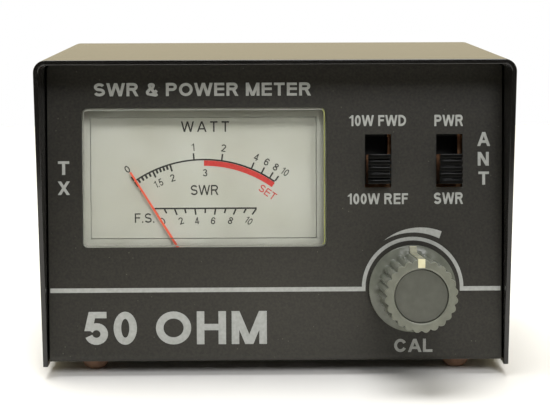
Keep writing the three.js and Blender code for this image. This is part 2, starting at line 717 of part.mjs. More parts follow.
function switchBodyGeometry() {
  const depth = [switchBodyFront - SWITCH_BODY_DEPTH, switchBodyFront];
  const sides = about(0, openingWidth + 2 * SWITCH_BODY_WALL);
  const ends = about(0, openingLength + 2 * SWITCH_BODY_WALL);
  const pocket = [switchBodyFront - SWITCH_BODY_DEPTH + SWITCH_BODY_WALL, switchBodyFront + 1];
  return carved(
    [block(sides, ends, depth)],
    [block(about(0, openingWidth), about(0, openingLength), pocket)],
  );
}

// The ribbed handle, which rests at the lower end of its slot.
function handleGeometry() {
  const foot = switchBodyFront - SWITCH_BODY_DEPTH / 2;
  const bottom = -SLOT_LENGTH / 2 + HANDLE_REST;
  const stem = block(about(0, handleWidth), [bottom, bottom + HANDLE_LENGTH], [foot, HANDLE_PROUD]);
  const pitch = (HANDLE_LENGTH + HANDLE_GROOVE) / HANDLE_RIDGES;
  const grooves = [];
  for (let i = 1; i < HANDLE_RIDGES; i++) {
    const middle = bottom + i * pitch - HANDLE_GROOVE / 2;
    const shape = outline([
      [middle - HANDLE_GROOVE / 2, HANDLE_PROUD + 0.01],
      [middle - HANDLE_GROOVE / 5, HANDLE_PROUD - HANDLE_GROOVE_DEPTH],
      [middle + HANDLE_GROOVE / 5, HANDLE_PROUD - HANDLE_GROOVE_DEPTH],
      [middle + HANDLE_GROOVE / 2, HANDLE_PROUD + 0.01],
    ]);
    const across = about(0, handleWidth + 1);
    grooves.push(extruded(shape, across).rotateY(Math.PI / 2).rotateX(Math.PI / 2));
  }
  return carved([stem], grooves);
}

function contactPins() {
  const columns = [-1, 1].map((side) => side * (openingWidth / 2 - CONTACT_PIN));
  return columns.flatMap((x) => [-1, 0, 1].map((row) => [x, row * CONTACT_PITCH]));
}

function contactBaseGeometry() {
  const depth = [contactBaseFront - CONTACT_BASE, contactBaseFront];
  const base = block(about(0, openingWidth + SWITCH_BODY_WALL), about(0, openingLength), depth);
  const end = switchBoardFront - BOARD_THICKNESS - 1.2;
  const pins = contactPins().map((at) => rod(CONTACT_PIN, [end, depth[1] - CONTACT_BASE / 2], at, 8));
  return carved([base, ...pins]);
}

function postPlaces() {
  return about(SLOT_CENTRE, POST_SPACING).map((y) => [postAcross, y]);
}

function switchBoardGeometry() {
  const depth = [switchBoardFront - BOARD_THICKNESS, switchBoardFront];
  const columns = Object.values(SLOT_INSETS).map((inset) => panelWidth / 2 - inset);
  const sides = grown([Math.min(...columns), Math.max(...columns)], SWITCH_FRAME_WIDTH / 2 + 2);
  const ends = about(SLOT_CENTRE, SWITCH_FRAME_LENGTH + 2 * SWITCH_BOARD_MARGIN);
  const pinHoles = columns.flatMap((x) =>
    contactPins().map(([u, v]) => rod(CONTACT_PIN + LOOSE, grown(depth, 1), [x + u, SLOT_CENTRE + v], 8)),
  );
  const screwHoles = postPlaces().map((at) =>
    rod(BOARD_SCREW_RADIUS + LOOSE, grown(depth, 1), at, SMALL_ROUND),
  );
  return carved([block(sides, ends, depth)], [...pinHoles, ...screwHoles]);
}

function addSwitches(panel) {
  for (const [name, inset] of Object.entries(SLOT_INSETS)) {
    const middle = [panelWidth / 2 - inset, SLOT_CENTRE, 0];
    add(panel, name + "_switch_frame", switchFrameGeometry(), finishes.copper, middle);
    add(panel, name + "_switch_body", switchBodyGeometry(), finishes.phenolic, middle);
    add(panel, name + "_contact_base", contactBaseGeometry(), finishes.phenolic, middle);
    add(panel, name + "_handle", handleGeometry(), finishes.switchBlack, middle);
  }
  add(panel, "switch_board", switchBoardGeometry(), finishes.boardGreen);
  const length = [switchBoardFront + SEAT, panelBack];
  const bore = [switchBoardFront - 1, switchBoardFront + BOARD_SCREW_LENGTH];
  const post = carved([rod(POST_RADIUS, length, [0, 0], 6)], [rod(POST_BORE, bore, [0, 0], SMALL_ROUND)]);
  const fixing = screw(BOARD_SCREW_RADIUS, BOARD_SCREW_HEAD, 1.5, BOARD_SCREW_LENGTH);
  postPlaces().forEach((at, i) => {
    const place = ["lower", "upper"][i];
    add(panel, "board_post_" + place, post, finishes.zincSteel, [...at, 0]);
    const head = switchBoardFront - BOARD_THICKNESS - SEAT;
    const mesh = add(panel, "board_screw_" + place, fixing, finishes.zincSteel, [...at, head]);
    mesh.rotation.x = Math.PI;
  });
}

// ---------------------------------------------------------------- calibration control, about its shaft

function potGeometry() {
  const can = rod(POT_RADIUS, [panelBack - POT_DEPTH, panelBack]);
  const bushing = rod(BUSHING_RADIUS, [panelBack - 1, BUSHING_LENGTH]);
  const bore = rod(SHAFT_RADIUS + RUNNING, [panelBack - POT_DEPTH / 2, BUSHING_LENGTH + 1]);
  return carved([can, bushing], [bore]);
}

// The strip under the can with the control's three solder lugs.
function lugGeometry() {
  const depth = [panelBack - 3.4, panelBack - 2];
  const strip = block(about(0, 13), [-POT_RADIUS - 2.6, -POT_RADIUS - SEAT], depth);
  const lugs = [-4.5, 0, 4.5].map((x) => block(about(x, 1.8), [-POT_RADIUS - 5, -POT_RADIUS - 2], depth));
  return carved([strip, ...lugs]);
}

// The grip's outline: ribs that the fingers hold, with round valleys between them.
function gripOutline() {
  const shape = new THREE.Shape();
  const steps = 6 * GRIP_RIBS;
  for (let i = 0; i < steps; i++) {
    const turn = (i / steps) * 2 * Math.PI;
    const wave = Math.abs(Math.sin((turn * GRIP_RIBS) / 2));
    const radius = GRIP_RADIUS - FLUTE_DEPTH * (1 - wave);
    const [x, y] = [radius * Math.cos(turn), radius * Math.sin(turn)];
    if (i === 0) shape.moveTo(x, y);
    else shape.lineTo(x, y);
  }
  shape.closePath();
  return shape;
}

function gripGeometry() {
  const grip = extruded(gripOutline(), [gripStart - SKIRT_SLOPE, KNOB_FACE]);
  const position = grip.attributes.position;
  for (let i = 0; i < position.count; i++) {
    const rise = Math.max(0, (position.getZ(i) - gripStart) / (KNOB_FACE - gripStart));
    const share = 1 - GRIP_TAPER * rise;
    position.setXY(i, position.getX(i) * share, position.getY(i) * share);
  }
  return grip;
}

// The pointer's section in [radius, z]: down the face, along the grip and out over the skirt.
function pointerSection(gap) {
  const face = KNOB_FACE + 0.1;
  const grip = GRIP_RADIUS + 0.1;
  const depth = POINTER_DEPTH + gap;
  const inner = capRadius + LOOSE - gap;
  return outline([
    [inner, face + gap],
    [inner, face - depth],
    [grip - depth, face - depth],
    [grip - depth, gripStart - gap],
    [skirtRadius - LOOSE + gap, gripStart - SKIRT_SLOPE - gap],
    [skirtRadius - LOOSE + gap, gripStart - SKIRT_SLOPE + POINTER_DEPTH + gap],
    [grip + gap, gripStart + POINTER_DEPTH + gap],
    [grip * (1 - GRIP_TAPER) + gap, face + gap],
  ]);
}

// The section is drawn in Y and Z and extruded across X.
function pointerGeometry(gap) {
  const across = about(0, POINTER_WIDTH + 2 * gap);
  return carved([extruded(pointerSection(gap), across).rotateY(Math.PI / 2).rotateX(Math.PI / 2)]);
}

function knobGeometry() {
  const skirt = turned([
    [0, KNOB_GAP],
    [skirtRadius - 0.3, KNOB_GAP],
    [skirtRadius, KNOB_GAP + 0.3],
    [skirtRadius, KNOB_GAP + SKIRT_RIM],
    [GRIP_RADIUS - FLUTE_DEPTH, gripStart],
    [0, gripStart],
  ]);
  const cuts = [
    rod(knobHollow, [0, nutFront + LOOSE]),
    rod(BUSHING_RADIUS + LOOSE, [0, BUSHING_LENGTH + LOOSE]),
    rod(SHAFT_RADIUS + RUNNING, [0, SHAFT_LENGTH + LOOSE]),
    rod(capRadius, [KNOB_FACE - KNOB_CAP_SET - KNOB_CAP_THICKNESS - SEAT, KNOB_FACE + 1]),
    pointerGeometry(SEAT),
  ];
  return carved([skirt, gripGeometry()], cuts);
}

function addControl(panel) {
  const place = new THREE.Group();
  place.position.set(...control, 0);
  panel.add(place);
  add(place, "pot_case", potGeometry(), finishes.zincSteel);
  add(place, "pot_lugs", lugGeometry(), finishes.phenolic);
  const washer = [SEAT, SEAT + WASHER_THICKNESS];
  const clearBore = rod(BUSHING_RADIUS + LOOSE, [-1, nutFront + 1]);
  add(place, "pot_washer", carved([rod(WASHER_RADIUS, washer)], [clearBore]), finishes.zincSteel);
  const nut = rod(nutRadius, [nutFront - NUT_THICKNESS, nutFront], [0, 0], 6);
  add(place, "pot_nut", carved([nut], [clearBore]), finishes.nickel);
  const shaftEnds = [panelBack - POT_DEPTH / 2 + LOOSE, SHAFT_LENGTH];
  add(place, "pot_shaft", rod(SHAFT_RADIUS, shaftEnds), finishes.brass);
  add(place, "knob", knobGeometry(), finishes.knobGrey);
  const capFront = KNOB_FACE - KNOB_CAP_SET;
  const cap = rod(capRadius - SEAT, [capFront - KNOB_CAP_THICKNESS, capFront]);
  add(place, "knob_cap", cap, finishes.knobCap);
  add(place, "knob_pointer", pointerGeometry(0), finishes.pointerCream);
}

// ---------------------------------------------------------------- sockets and coupler, in the rear frame

// Each socket piece is drawn about the socket's axis, with z = 0 on the rear panel's outer face.
function shellGeometry() {
  const body = rod(SOCKET_THREAD, [-SOCKET_INSIDE, SOCKET_LENGTH]);
  const flange = rod(SOCKET_THREAD + SOCKET_FLANGE_LIP, [SEAT, SEAT + SOCKET_FLANGE_THICKNESS]);
  const bore = rod(SOCKET_BORE, [-SOCKET_INSIDE - 1, SOCKET_LENGTH + 1]);
  const gaps = [];
  const rim = [SOCKET_LENGTH - TOOTH_DEPTH, SOCKET_LENGTH + 1];
  for (let i = 0; i < SOCKET_TEETH / 2; i++) {
    const gap = block(about(0, 3 * SOCKET_THREAD), about(0, TOOTH_GAP), rim);
    gaps.push(gap.rotateZ((i * 2 * Math.PI) / SOCKET_TEETH));
  }
  return carved([body, flange], [bore, ...gaps]);
}

function insulatorGeometry() {
  const length = [-SOCKET_INSIDE, SOCKET_LENGTH - SOCKET_RECESS];
  return carved([rod(SOCKET_BORE - SEAT, length)], [rod(CONTACT_RADIUS + SEAT, grown(length, 1))]);
}

function contactGeometry() {
  const mouth = SOCKET_LENGTH - SOCKET_RECESS;
  const pin = rod(CONTACT_RADIUS, [-CONTACT_TAIL, mouth], [0, 0], SMALL_ROUND);
  return carved([pin], [rod(CONTACT_BORE, [mouth - CONTACT_BORE_DEPTH, mouth + 1], [0, 0], SMALL_ROUND)]);
}

function socketNutGeometry() {
  const length = [panelBack - SOCKET_NUT_THICKNESS, panelBack];
  const hexagon = rod(SOCKET_THREAD + SOCKET_NUT_WALL, length, [0, 0], 6);
  return carved([hexagon], [rod(SOCKET_THREAD + LOOSE, grown(length, 1))]);
}

// The channel round the line between the sockets, open towards the board.
function shieldGeometry() {
  const reach = SOCKET_SPACING / 2 + SHIELD_MARGIN;
  const depth = [shieldBack - SHIELD_DEPTH, shieldBack];
  const outer = block([-reach, reach], about(SOCKET_HEIGHT, SHIELD_HEIGHT), depth);
  const inner = block(
    [-reach - 1, reach + 1],
    about(SOCKET_HEIGHT, SHIELD_HEIGHT - 2 * SHIELD_SHEET),
    [depth[0] - 1, shieldBack - SHIELD_SHEET],
  );
  const holes = [-1, 1].map((side) =>
    rod(CONTACT_RADIUS + 1, grown(depth, 1), [(side * SOCKET_SPACING) / 2, SOCKET_HEIGHT], SMALL_ROUND),
  );
  return carved([outer], [inner, ...holes]);
}

function addSockets(rear) {
  // Seen from the front the transmitter's socket is on the left.
  for (const [name, side] of [["tx", 1], ["antenna", -1]]) {
    const axis = [(side * SOCKET_SPACING) / 2, SOCKET_HEIGHT, 0];
    add(rear, name + "_socket_shell", shellGeometry(), finishes.nickel, axis);
    add(rear, name + "_socket_insulator", insulatorGeometry(), finishes.whiteInsulator, axis);
    add(rear, name + "_socket_contact", contactGeometry(), finishes.silver, axis);
    add(rear, name + "_socket_nut", socketNutGeometry(), finishes.nickel, axis);
  }
  const reach = SOCKET_SPACING / 2 + CONTACT_RADIUS;
  const line = [-CONTACT_TAIL - SEAT - LINE_THICKNESS, -CONTACT_TAIL - SEAT];
  add(rear, "through_line", block([-reach, reach], about(SOCKET_HEIGHT, LINE_WIDTH), line), finishes.copper);
  add(rear, "coupler_shield", shieldGeometry(), finishes.zincSteel);
  const board = [couplerBoardFront - BOARD_THICKNESS, couplerBoardFront];
  const boardSides = grown([-SOCKET_SPACING / 2, SOCKET_SPACING / 2], SHIELD_MARGIN + 2);
  const boardEnds = about(SOCKET_HEIGHT, SHIELD_HEIGHT + 6);
  add(rear, "coupler_board", block(boardSides, boardEnds, board), finishes.boardGreen);
  const trimmer = [board[0] - SEAT - TRIMMER_HEIGHT, board[0] - SEAT];
  for (const [name, side] of [["fwd", 1], ["ref", -1]]) {
    const at = [(side * TRIMMER_SPACING) / 2, SOCKET_HEIGHT];
    add(rear, name + "_trimmer", rod(TRIMMER_RADIUS, trimmer, at, SMALL_ROUND), finishes.trimmerBlue);
  }
}

// ---------------------------------------------------------------- assembly

const meter = new THREE.Group();

// The front panel's frame: X across, Y up the panel from its foot and Z straight out of its face.
const panel = new THREE.Group();
panel.position.set(0, PANEL_RECESS, CHASSIS_LIFT);
panel.rotation.x = Math.PI / 2 - PANEL_LEAN;
panel.updateMatrix();

// The rear frame, for someone who faces the back: X to their right, Y up and Z straight out.
const rear = new THREE.Group();
rear.position.set(0, rearFace, 0);
rear.rotation.set(Math.PI / 2, Math.PI, 0);
rear.updateMatrix();

meter.add(panel, rear);
addCase(meter, panel, rear);
addMeter(panel);
addSwitches(panel);
addControl(panel);
addSockets(rear);

// The origin goes under the middle of the outer box.
meter.updateMatrixWorld(true);
const box = new THREE.Box3().setFromObject(meter, true);
meter.position.set(-(box.min.x + box.max.x) / 2, -(box.min.y + box.max.y) / 2, -box.min.z);

export default meter;
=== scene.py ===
# %% [markdown]
# # A bench SWR and power meter
#
# This lesson dresses the working model of a small radio meter: a black steel case whose charcoal front
# panel leans back under a hood, a moving-needle meter behind a clear window, two slide switches, a
# fluted knob and two coaxial sockets at the back. The model gives every place and size. Blender adds
# rounded edges, printing, and finishes that look like the real materials.

# %% Load the working model
import math
import json

import bpy
from mathutils import Matrix, Vector


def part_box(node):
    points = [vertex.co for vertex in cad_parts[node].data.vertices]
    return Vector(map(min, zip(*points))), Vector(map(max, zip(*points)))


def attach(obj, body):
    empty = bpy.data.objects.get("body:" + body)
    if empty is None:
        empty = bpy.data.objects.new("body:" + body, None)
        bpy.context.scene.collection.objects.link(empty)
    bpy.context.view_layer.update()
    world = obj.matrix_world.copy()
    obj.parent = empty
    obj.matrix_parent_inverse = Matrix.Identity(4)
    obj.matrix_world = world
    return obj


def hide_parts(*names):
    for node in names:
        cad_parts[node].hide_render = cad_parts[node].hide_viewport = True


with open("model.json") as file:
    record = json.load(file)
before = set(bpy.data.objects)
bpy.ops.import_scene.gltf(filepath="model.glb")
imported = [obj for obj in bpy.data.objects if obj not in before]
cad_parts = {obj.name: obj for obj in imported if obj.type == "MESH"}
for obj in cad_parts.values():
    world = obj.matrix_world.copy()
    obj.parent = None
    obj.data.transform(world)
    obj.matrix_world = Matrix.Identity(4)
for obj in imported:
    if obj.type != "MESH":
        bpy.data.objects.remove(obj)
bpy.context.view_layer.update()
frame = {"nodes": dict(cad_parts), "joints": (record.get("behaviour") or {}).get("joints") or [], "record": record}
MM = 0.001

# %% [markdown]
# ## The panel's own axes
#
# The front panel leans back, so nothing on it lines up with the world's axes. The two joints on it say
# how it stands: a switch slides straight up the panel, and the knob turns about an axis that goes
# straight into it. From those we make one matrix that takes "millimetres across, millimetres up,
# millimetres out of the panel" to the world, and use it for all that is on the panel.

# %% The panel's axes from its joints
joints = {joint["name"]: joint for joint in frame["joints"]}
panel_up = Vector(joints["fwd_ref_slide"]["axis"]).normalized()
panel_out = -Vector(joints["cal_turn"]["axis"]).normalized()
knob_axis_point = Vector(joints["cal_turn"]["pos_m"])
needle_axis_point = Vector(joints["needle_swing"]["pos_m"])
KNOB_HEIGHT = 18.2  # mm, from the panel's foot up to the knob's axis
panel_foot = knob_axis_point - KNOB_HEIGHT * MM * panel_up
panel_foot.x = 0.0


def on_panel(across, up, out=0.0, turn=0.0):
    """The matrix for a piece drawn flat in metres, to lie at this place in mm, turned anticlockwise."""
    spot = panel_foot + MM * (across * Vector((1, 0, 0)) + up * panel_up + out * panel_out)
    axes = Matrix((Vector((1, 0, 0)), panel_up, panel_out)).transposed().to_4x4()
    return Matrix.Translation(spot) @ axes @ Matrix.Rotation(turn, 4, "Z")


def panel_place(point):
    """A point of the world as mm across, up and out of the panel."""
    return tuple(round(value / MM, 3) for value in on_panel(0, 0).inverted() @ Vector(point))


knob_across = panel_place(knob_axis_point)[0]
needle_across, needle_up, _ = panel_place(needle_axis_point)
lean = math.degrees(math.acos(panel_up.z))
print("panel leans back", round(lean, 2), "degrees; knob at", panel_place(knob_axis_point))

# %% [markdown]
# ## Camera
#
# The camera looks slightly down at the front from about a third of a metre, with a long lens, so that the
# case's sides close in only a little towards the back. Its aim is three small angles: down, to the
# right, and a hint of roll. A camera looks along its own -Z, so its axes are right, up and backwards.

# %% Make the camera
CAMERA_SPOT = Vector((-4.47, -347.98, 101.58)) * MM
LOOK_DOWN = math.radians(10.408)
LOOK_RIGHT = math.radians(0.769)
ROLL = math.radians(-0.149)

forward = Vector(
    (
        math.sin(LOOK_RIGHT) * math.cos(LOOK_DOWN),
        math.cos(LOOK_RIGHT) * math.cos(LOOK_DOWN),
        -math.sin(LOOK_DOWN),
    )
)
level_right = Vector((math.cos(LOOK_RIGHT), -math.sin(LOOK_RIGHT), 0))
level_up = level_right.cross(forward)
right = math.cos(ROLL) * level_right + math.sin(ROLL) * level_up
up = right.cross(forward)
bpy.ops.object.camera_add()
camera = bpy.context.object
camera.matrix_world = (
    Matrix.Translation(CAMERA_SPOT) @ Matrix((right, up, -forward)).transposed().to_4x4()
)
camera.data.sensor_width = 36
camera.data.lens = 87.43
camera.data.clip_start = 0.01
bpy.context.scene.camera = camera
bpy.context.scene.view_settings.view_transform = "Standard"
print("camera", round((CAMERA_SPOT - panel_foot).length, 3), "m from the panel's foot")

# %% [markdown]
# ## Helpers for materials
#
# A material here is a small graph of nodes round one Principled shader. One function adds a node with its
# settings and its links, and one turns the hex colours that people write (sRGB) to the linear values
# that Blender works in. Patterns read Object coordinates: every piece keeps its place in its mesh, so
# those are metres, and a pattern's scale is one over its real size in metres.

# %% Node and colour helpers
def linear(hex_colour):
    """An sRGB hex colour as linear red, green, blue and full alpha."""
    channels = [int(hex_colour[i : i + 2], 16) / 255 for i in (1, 3, 5)]
    return [c / 12.92 if c <= 0.04045 else ((c + 0.055) / 1.055) ** 2.4 for c in channels] + [1.0]


def add_node(tree, kind, settings=None, **inputs):
    """Adds a node; an input is a value, or a (node, output) pair to link from."""
    made = tree.nodes.new(kind)
    for name, value in (settings or {}).items():
        setattr(made, name, value)
    for name, value in inputs.items():
        socket = made.inputs[int(name[1:])] if name[0] == "_" else made.inputs[name.replace("_", " ")]
        if isinstance(value, tuple) and isinstance(value[0], bpy.types.Node):
            tree.links.new(value[0].outputs[value[1]], socket)
        else:
            socket.default_value = value
    return made


def per_mm(size):
    """The scale that makes a pattern's cell this many millimetres across."""
    return 1.0 / (size * MM)


def new_surface(name, **shader):
    """A material with its tree, its Principled shader and metres to draw patterns in."""
    material = bpy.data.materials.new(name)
    material.use_nodes = True
    tree = material.node_tree
    tree.nodes.clear()
    surface = add_node(tree, "ShaderNodeBsdfPrincipled", **shader)
    output = add_node(tree, "ShaderNodeOutputMaterial")
    tree.links.new(surface.outputs[0], output.inputs["Surface"])
    metres = add_node(tree, "ShaderNodeTexCoord")
    return material, tree, surface, metres


def mottled(tree, surface, metres, low, high, size, detail=3.0):
    """Colour that wanders between two hex colours, in patches of this size in mm."""
    noise = add_node(
        tree, "ShaderNodeTexNoise", Vector=(metres, "Object"), Scale=per_mm(size), Detail=detail
    )
    ramp = add_node(tree, "ShaderNodeValToRGB", Fac=(noise, 0))
    ramp.color_ramp.elements[0].position = 0.32
    ramp.color_ramp.elements[0].color = linear(low)
    ramp.color_ramp.elements[1].position = 0.68
    ramp.color_ramp.elements[1].color = linear(high)
    tree.links.new(ramp.outputs["Color"], surface.inputs["Base Color"])
    return noise, ramp


def uneven_gloss(tree, surface, metres, low, high, size):
    """Roughness that wanders between two values, in patches of this size in mm."""
    noise = add_node(tree, "ShaderNodeTexNoise", Vector=(metres, "Object"), Scale=per_mm(size), Detail=2.0)
    spread = add_node(tree, "ShaderNodeMapRange", Value=(noise, 0), To_Min=low, To_Max=high)
    tree.links.new(spread.outputs[0], surface.inputs["Roughness"])


def relief(tree, surface, metres, size, height, strength=1.0, detail=2.0):
    """A bumpy skin: grains of this size and height, both in mm."""
    noise = add_node(
        tree, "ShaderNodeTexNoise", Vector=(metres, "Object"), Scale=per_mm(size), Detail=detail
    )
    bump = add_node(
        tree, "ShaderNodeBump", Height=(noise, 0), Distance=height * MM, Strength=strength
    )
    tree.links.new(bump.outputs["Normal"], surface.inputs["Normal"])
    return bump


# %% [markdown]
# ## Painted steel
#
# The cover is stove enamelled: sprayed black and baked, which leaves a satin skin with a faint orange peel
# that is about a millimetre from crest to crest. The chassis behind it has a duller, finer charcoal
# paint with a grain like fine sandpaper, and dust and light specks that have settled in it. Below the
# middle of the panel its colour is a little paler: a painted sheen, in place of a lamp's reflection in the paint.

# %% Enamel and textured paint
# The panel's painted sheen: a soft paler patch in place of a lamp's reflection.
SHEEN_MIDDLE = (2, 14)  # mm across and up the panel
SHEEN_REACH = (64, 40, 62)  # mm from its middle to where it has faded out, along X, Y and Z
SHEEN_SHARE = 0.12  # how far towards the pale colour it goes in its middle


def cover_enamel():
    material, tree, surface, metres = new_surface("satin_black_stove_enamel", IOR=1.5, Coat_Weight=1.0)
    surface.inputs["Coat Roughness"].default_value = 0.12
    surface.inputs["Specular IOR Level"].default_value = 0.1
    mottled(tree, surface, metres, "#0c0b0a", "#12110f", 9)
    uneven_gloss(tree, surface, metres, 0.34, 0.46, 4)
    relief(tree, surface, metres, 0.9, 0.012, 0.5)
    return material


def panel_enamel():
    material, tree, surface, metres = new_surface("fine_textured_charcoal_paint", IOR=1.48)
    _, shade = mottled(tree, surface, metres, "#16140f", "#2b2921", 0.55, 4.0)
    # Pale specks: only the very middle of a few scattered cells.
    cells = add_node(
        tree, "ShaderNodeTexVoronoi", Vector=(metres, "Object"), Scale=per_mm(1.3), Randomness=1.0
    )
    dots = add_node(tree, "ShaderNodeMath", {"operation": "LESS_THAN"}, _0=(cells, "Distance"), _1=0.1)
    patches = add_node(tree, "ShaderNodeTexNoise", Vector=(metres, "Object"), Scale=per_mm(2.5))
    some = add_node(tree, "ShaderNodeMath", {"operation": "GREATER_THAN"}, _0=(patches, 0), _1=0.6)
    specks = add_node(tree, "ShaderNodeMath", {"operation": "MULTIPLY"}, _0=(dots, 0), _1=(some, 0))
    faint = add_node(tree, "ShaderNodeMath", {"operation": "MULTIPLY"}, _0=(specks, 0), _1=0.35)
    both = add_node(
        tree, "ShaderNodeMix", {"data_type": "RGBA"}, Factor=(faint, 0), _6=(shade, "Color")
    )
    both.inputs[7].default_value = linear("#8a8779")
    # The painted sheen: a soft ball of paler colour, as wide and as high as the reflection it stands for.
    sheen_place = on_panel(*SHEEN_MIDDLE).translation
    shrink = [1 / (half * MM) for half in SHEEN_REACH]
    ball = add_node(tree, "ShaderNodeMapping", Vector=(metres, "Object"), Scale=shrink)
    ball.inputs["Location"].default_value = [-c * k for c, k in zip(sheen_place, shrink)]
    fade = add_node(tree, "ShaderNodeTexGradient", {"gradient_type": "SPHERICAL"}, Vector=(ball, 0))
    # Painted sheen: how much of the pale colour is mixed in, most at the patch's middle.
    worn = add_node(tree, "ShaderNodeMath", {"operation": "MULTIPLY"}, _0=(fade, 0), _1=SHEEN_SHARE)
    rubbed = add_node(
        tree, "ShaderNodeMix", {"data_type": "RGBA"}, Factor=(worn, 0), _6=(both, 2)
    )
    rubbed.inputs[7].default_value = linear("#77746a")
    tree.links.new(rubbed.outputs[2], surface.inputs["Base Color"])
    uneven_gloss(tree, surface, metres, 0.4, 0.48, 3)
    relief(tree, surface, metres, 0.28, 0.02, 0.6, 4.0)
    return material


def legend_ink():
    material, tree, surface, metres = new_surface("pale_grey_screen_ink", IOR=1.48)
    mottled(tree, surface, metres, "#a6a8a3", "#b4b6b2", 0.8)
    uneven_gloss(tree, surface, metres, 0.45, 0.6, 1.5)
    relief(tree, surface, metres, 0.25, 0.008, 0.5)
    return material


# %% [markdown]
# ## The meter's card, inks and clear front
#
# The dial is an aluminium plate sprayed off-white and printed. The clear front is moulded polystyrene,
# whose IOR is about 1.59. The shader has acrylic's 1.49, so it mirrors a little less. A refracting
# material stops lamps from reaching what is behind it in a few samples, so its shader turns plainly
# transparent for shadow rays alone.

# %% Dial and window materials
def dial_paint():
    material, tree, surface, metres = new_surface("off_white_dial_lacquer", IOR=1.45)
    mottled(tree, surface, metres, "#bbb9ae", "#c6c5bd", 14)
    uneven_gloss(tree, surface, metres, 0.5, 0.6, 6)
    relief(tree, surface, metres, 0.3, 0.006, 0.3)
    return material


def dial_ink(name, low, high):
    material, tree, surface, metres = new_surface(name, IOR=1.48)
    mottled(tree, surface, metres, low, high, 0.6)
    uneven_gloss(tree, surface, metres, 0.4, 0.55, 1)
    return material


def clear_styrene():
    material, tree, surface, metres = new_surface(
        "clear_moulded_styrene", IOR=1.49, Roughness=0.02, Transmission_Weight=1.0
    )
    surface.inputs["Base Color"].default_value = linear("#f6f8f4")
    # The faint unevenness of a moulding, and hairline rubbing marks that catch the light.
    relief(tree, surface, metres, 11, 0.01, 0.15, 1.0)
    rays = add_node(tree, "ShaderNodeLightPath")
    through = add_node(tree, "ShaderNodeBsdfTransparent")
    blend = add_node(
        tree, "ShaderNodeMixShader", Fac=(rays, "Is Shadow Ray"), _1=(surface, 0), _2=(through, 0)
    )
    output = next(node for node in tree.nodes if node.type == "OUTPUT_MATERIAL")
    tree.links.new(blend.outputs[0], output.inputs["Surface"])
    return material


def needle_lacquer():
    material, tree, surface, metres = new_surface("orange_red_needle_lacquer", IOR=1.48)
    mottled(tree, surface, metres, "#e9553c", "#f0644a", 2)
    uneven_gloss(tree, surface, metres, 0.35, 0.5, 1)
    return material


# %% [markdown]
# ## Plastics and rubber
#
# The knob is moulded in a grey plastic that lets a little light in, so it gets some subsurface scattering
# a millimetre or so deep. Its raised rim has a slightly paler, rougher finish. The feet are matte
# brown rubber, and the switch handles are glossy black with the crisp marks of a cheap mould.

# %% Plastics and rubber
def moulded(name, low, high, gloss, grain=0.4, depth=0.01, scatter=0.0, shine=0.5):
    material, tree, surface, metres = new_surface(name, IOR=1.49)
    surface.inputs["Specular IOR Level"].default_value = shine
    surface.inputs["Subsurface Weight"].default_value = scatter
    surface.inputs["Subsurface Radius"].default_value = (1.0, 0.95, 0.8)
    surface.inputs["Subsurface Scale"].default_value = 1.2 * MM
    mottled(tree, surface, metres, low, high, 2.2)
    uneven_gloss(tree, surface, metres, gloss[0], gloss[1], 1.6)
    relief(tree, surface, metres, grain, depth, 0.5)
    return material


# %% [markdown]
# ## Metals
#
# A metal is colour and roughness: metallic is 1 and the IOR keeps its default. Plating is nearly smooth
# with slightly cloudy gloss, turned brass shows a fine grain, and zinc plate is dull and spangled.

# %% Metals
def plated(name, low, high, gloss, cloud=1.5, scratch=0.0):
    material, tree, surface, metres = new_surface(name, Metallic=1.0)
    mottled(tree, surface, metres, low, high, cloud)
    uneven_gloss(tree, surface, metres, gloss[0], gloss[1], cloud)
    if scratch:
        relief(tree, surface, metres, scratch, 0.004, 0.4, 4.0)
    return material


surfaces = {
    "cover_paint": cover_enamel(),
    "panel_paint": panel_enamel(),
    "black_screw": plated("black_oxide_steel", "#26262a", "#35353a", (0.3, 0.45), 1.2, 0.2),
    "brown_rubber": moulded("brown_moulded_rubber", "#7d5f4a", "#937058", (0.6, 0.8), 0.5, 0.03),
    "clear_plastic": clear_styrene(),
    "black_plastic": moulded("satin_black_phenolic", "#191918", "#222220", (0.4, 0.55)),
    "dial_card": dial_paint(),
    "brass": plated("turned_brass", "#b4924f", "#cbaa66", (0.2, 0.35), 1.5, 0.3),
    "magnet": plated("ground_magnet_alloy", "#5a5a5c", "#6c6c6e", (0.35, 0.5), 1.5, 0.3),
    "zinc_steel": plated("zinc_plated_steel", "#a5a49c", "#bdbcb2", (0.3, 0.5), 2.5, 0.3),
    "spring_bronze": plated("enamelled_copper", "#9c5a38", "#b9714a", (0.25, 0.4), 0.8, 0.2),
    "needle_red": needle_lacquer(),
    "switch_copper": plated("copper_flashed_steel", "#cf956c", "#e4b18a", (0.45, 0.6), 1.0, 0.2),
    "phenolic": moulded("brown_paper_laminate", "#6d4326", "#875636", (0.5, 0.7), 0.35, 0.02),
    "switch_black": moulded(
        "glossy_black_nylon", "#0b0b0a", "#121211", (0.15, 0.22), 0.5, 0.006, shine=0.25
    ),
    "board_green": moulded("olive_solder_mask", "#4b5527", "#5c6832", (0.35, 0.5), 0.8, 0.01),
    "nickel": plated("bright_nickel_plate", "#bdb9ae", "#cfcbc0", (0.12, 0.25), 2.0),
    "knob_grey": moulded(
        "translucent_grey_moulding", "#6b6e64", "#787b70", (0.16, 0.28), 0.6, 0.012, 0.25
    ),
    "knob_cap_grey": moulded(
        "smooth_dark_grey_moulding", "#54554d", "#5e5f57", (0.3, 0.42), 0.45, 0.012, 0.1
    ),
    "pointer_cream": moulded("cream_filling_paint", "#d9d3ab", "#ece7c6", (0.35, 0.55), 0.5, 0.02, 0.1),
    "white_insulator": moulded("white_ptfe", "#dcd9cd", "#eae7db", (0.4, 0.55), 0.6, 0.01, 0.2),
    "silver": plated("silver_plate", "#cdcbc3", "#dddbd4", (0.12, 0.25), 1.0),
    "trimmer_blue": moulded("blue_trimmer_body", "#2f5f8f", "#3f72a4", (0.35, 0.5)),
}
ink_pale = legend_ink()
ink_black = dial_ink("black_dial_ink", "#1f1f1d", "#2a2a27")
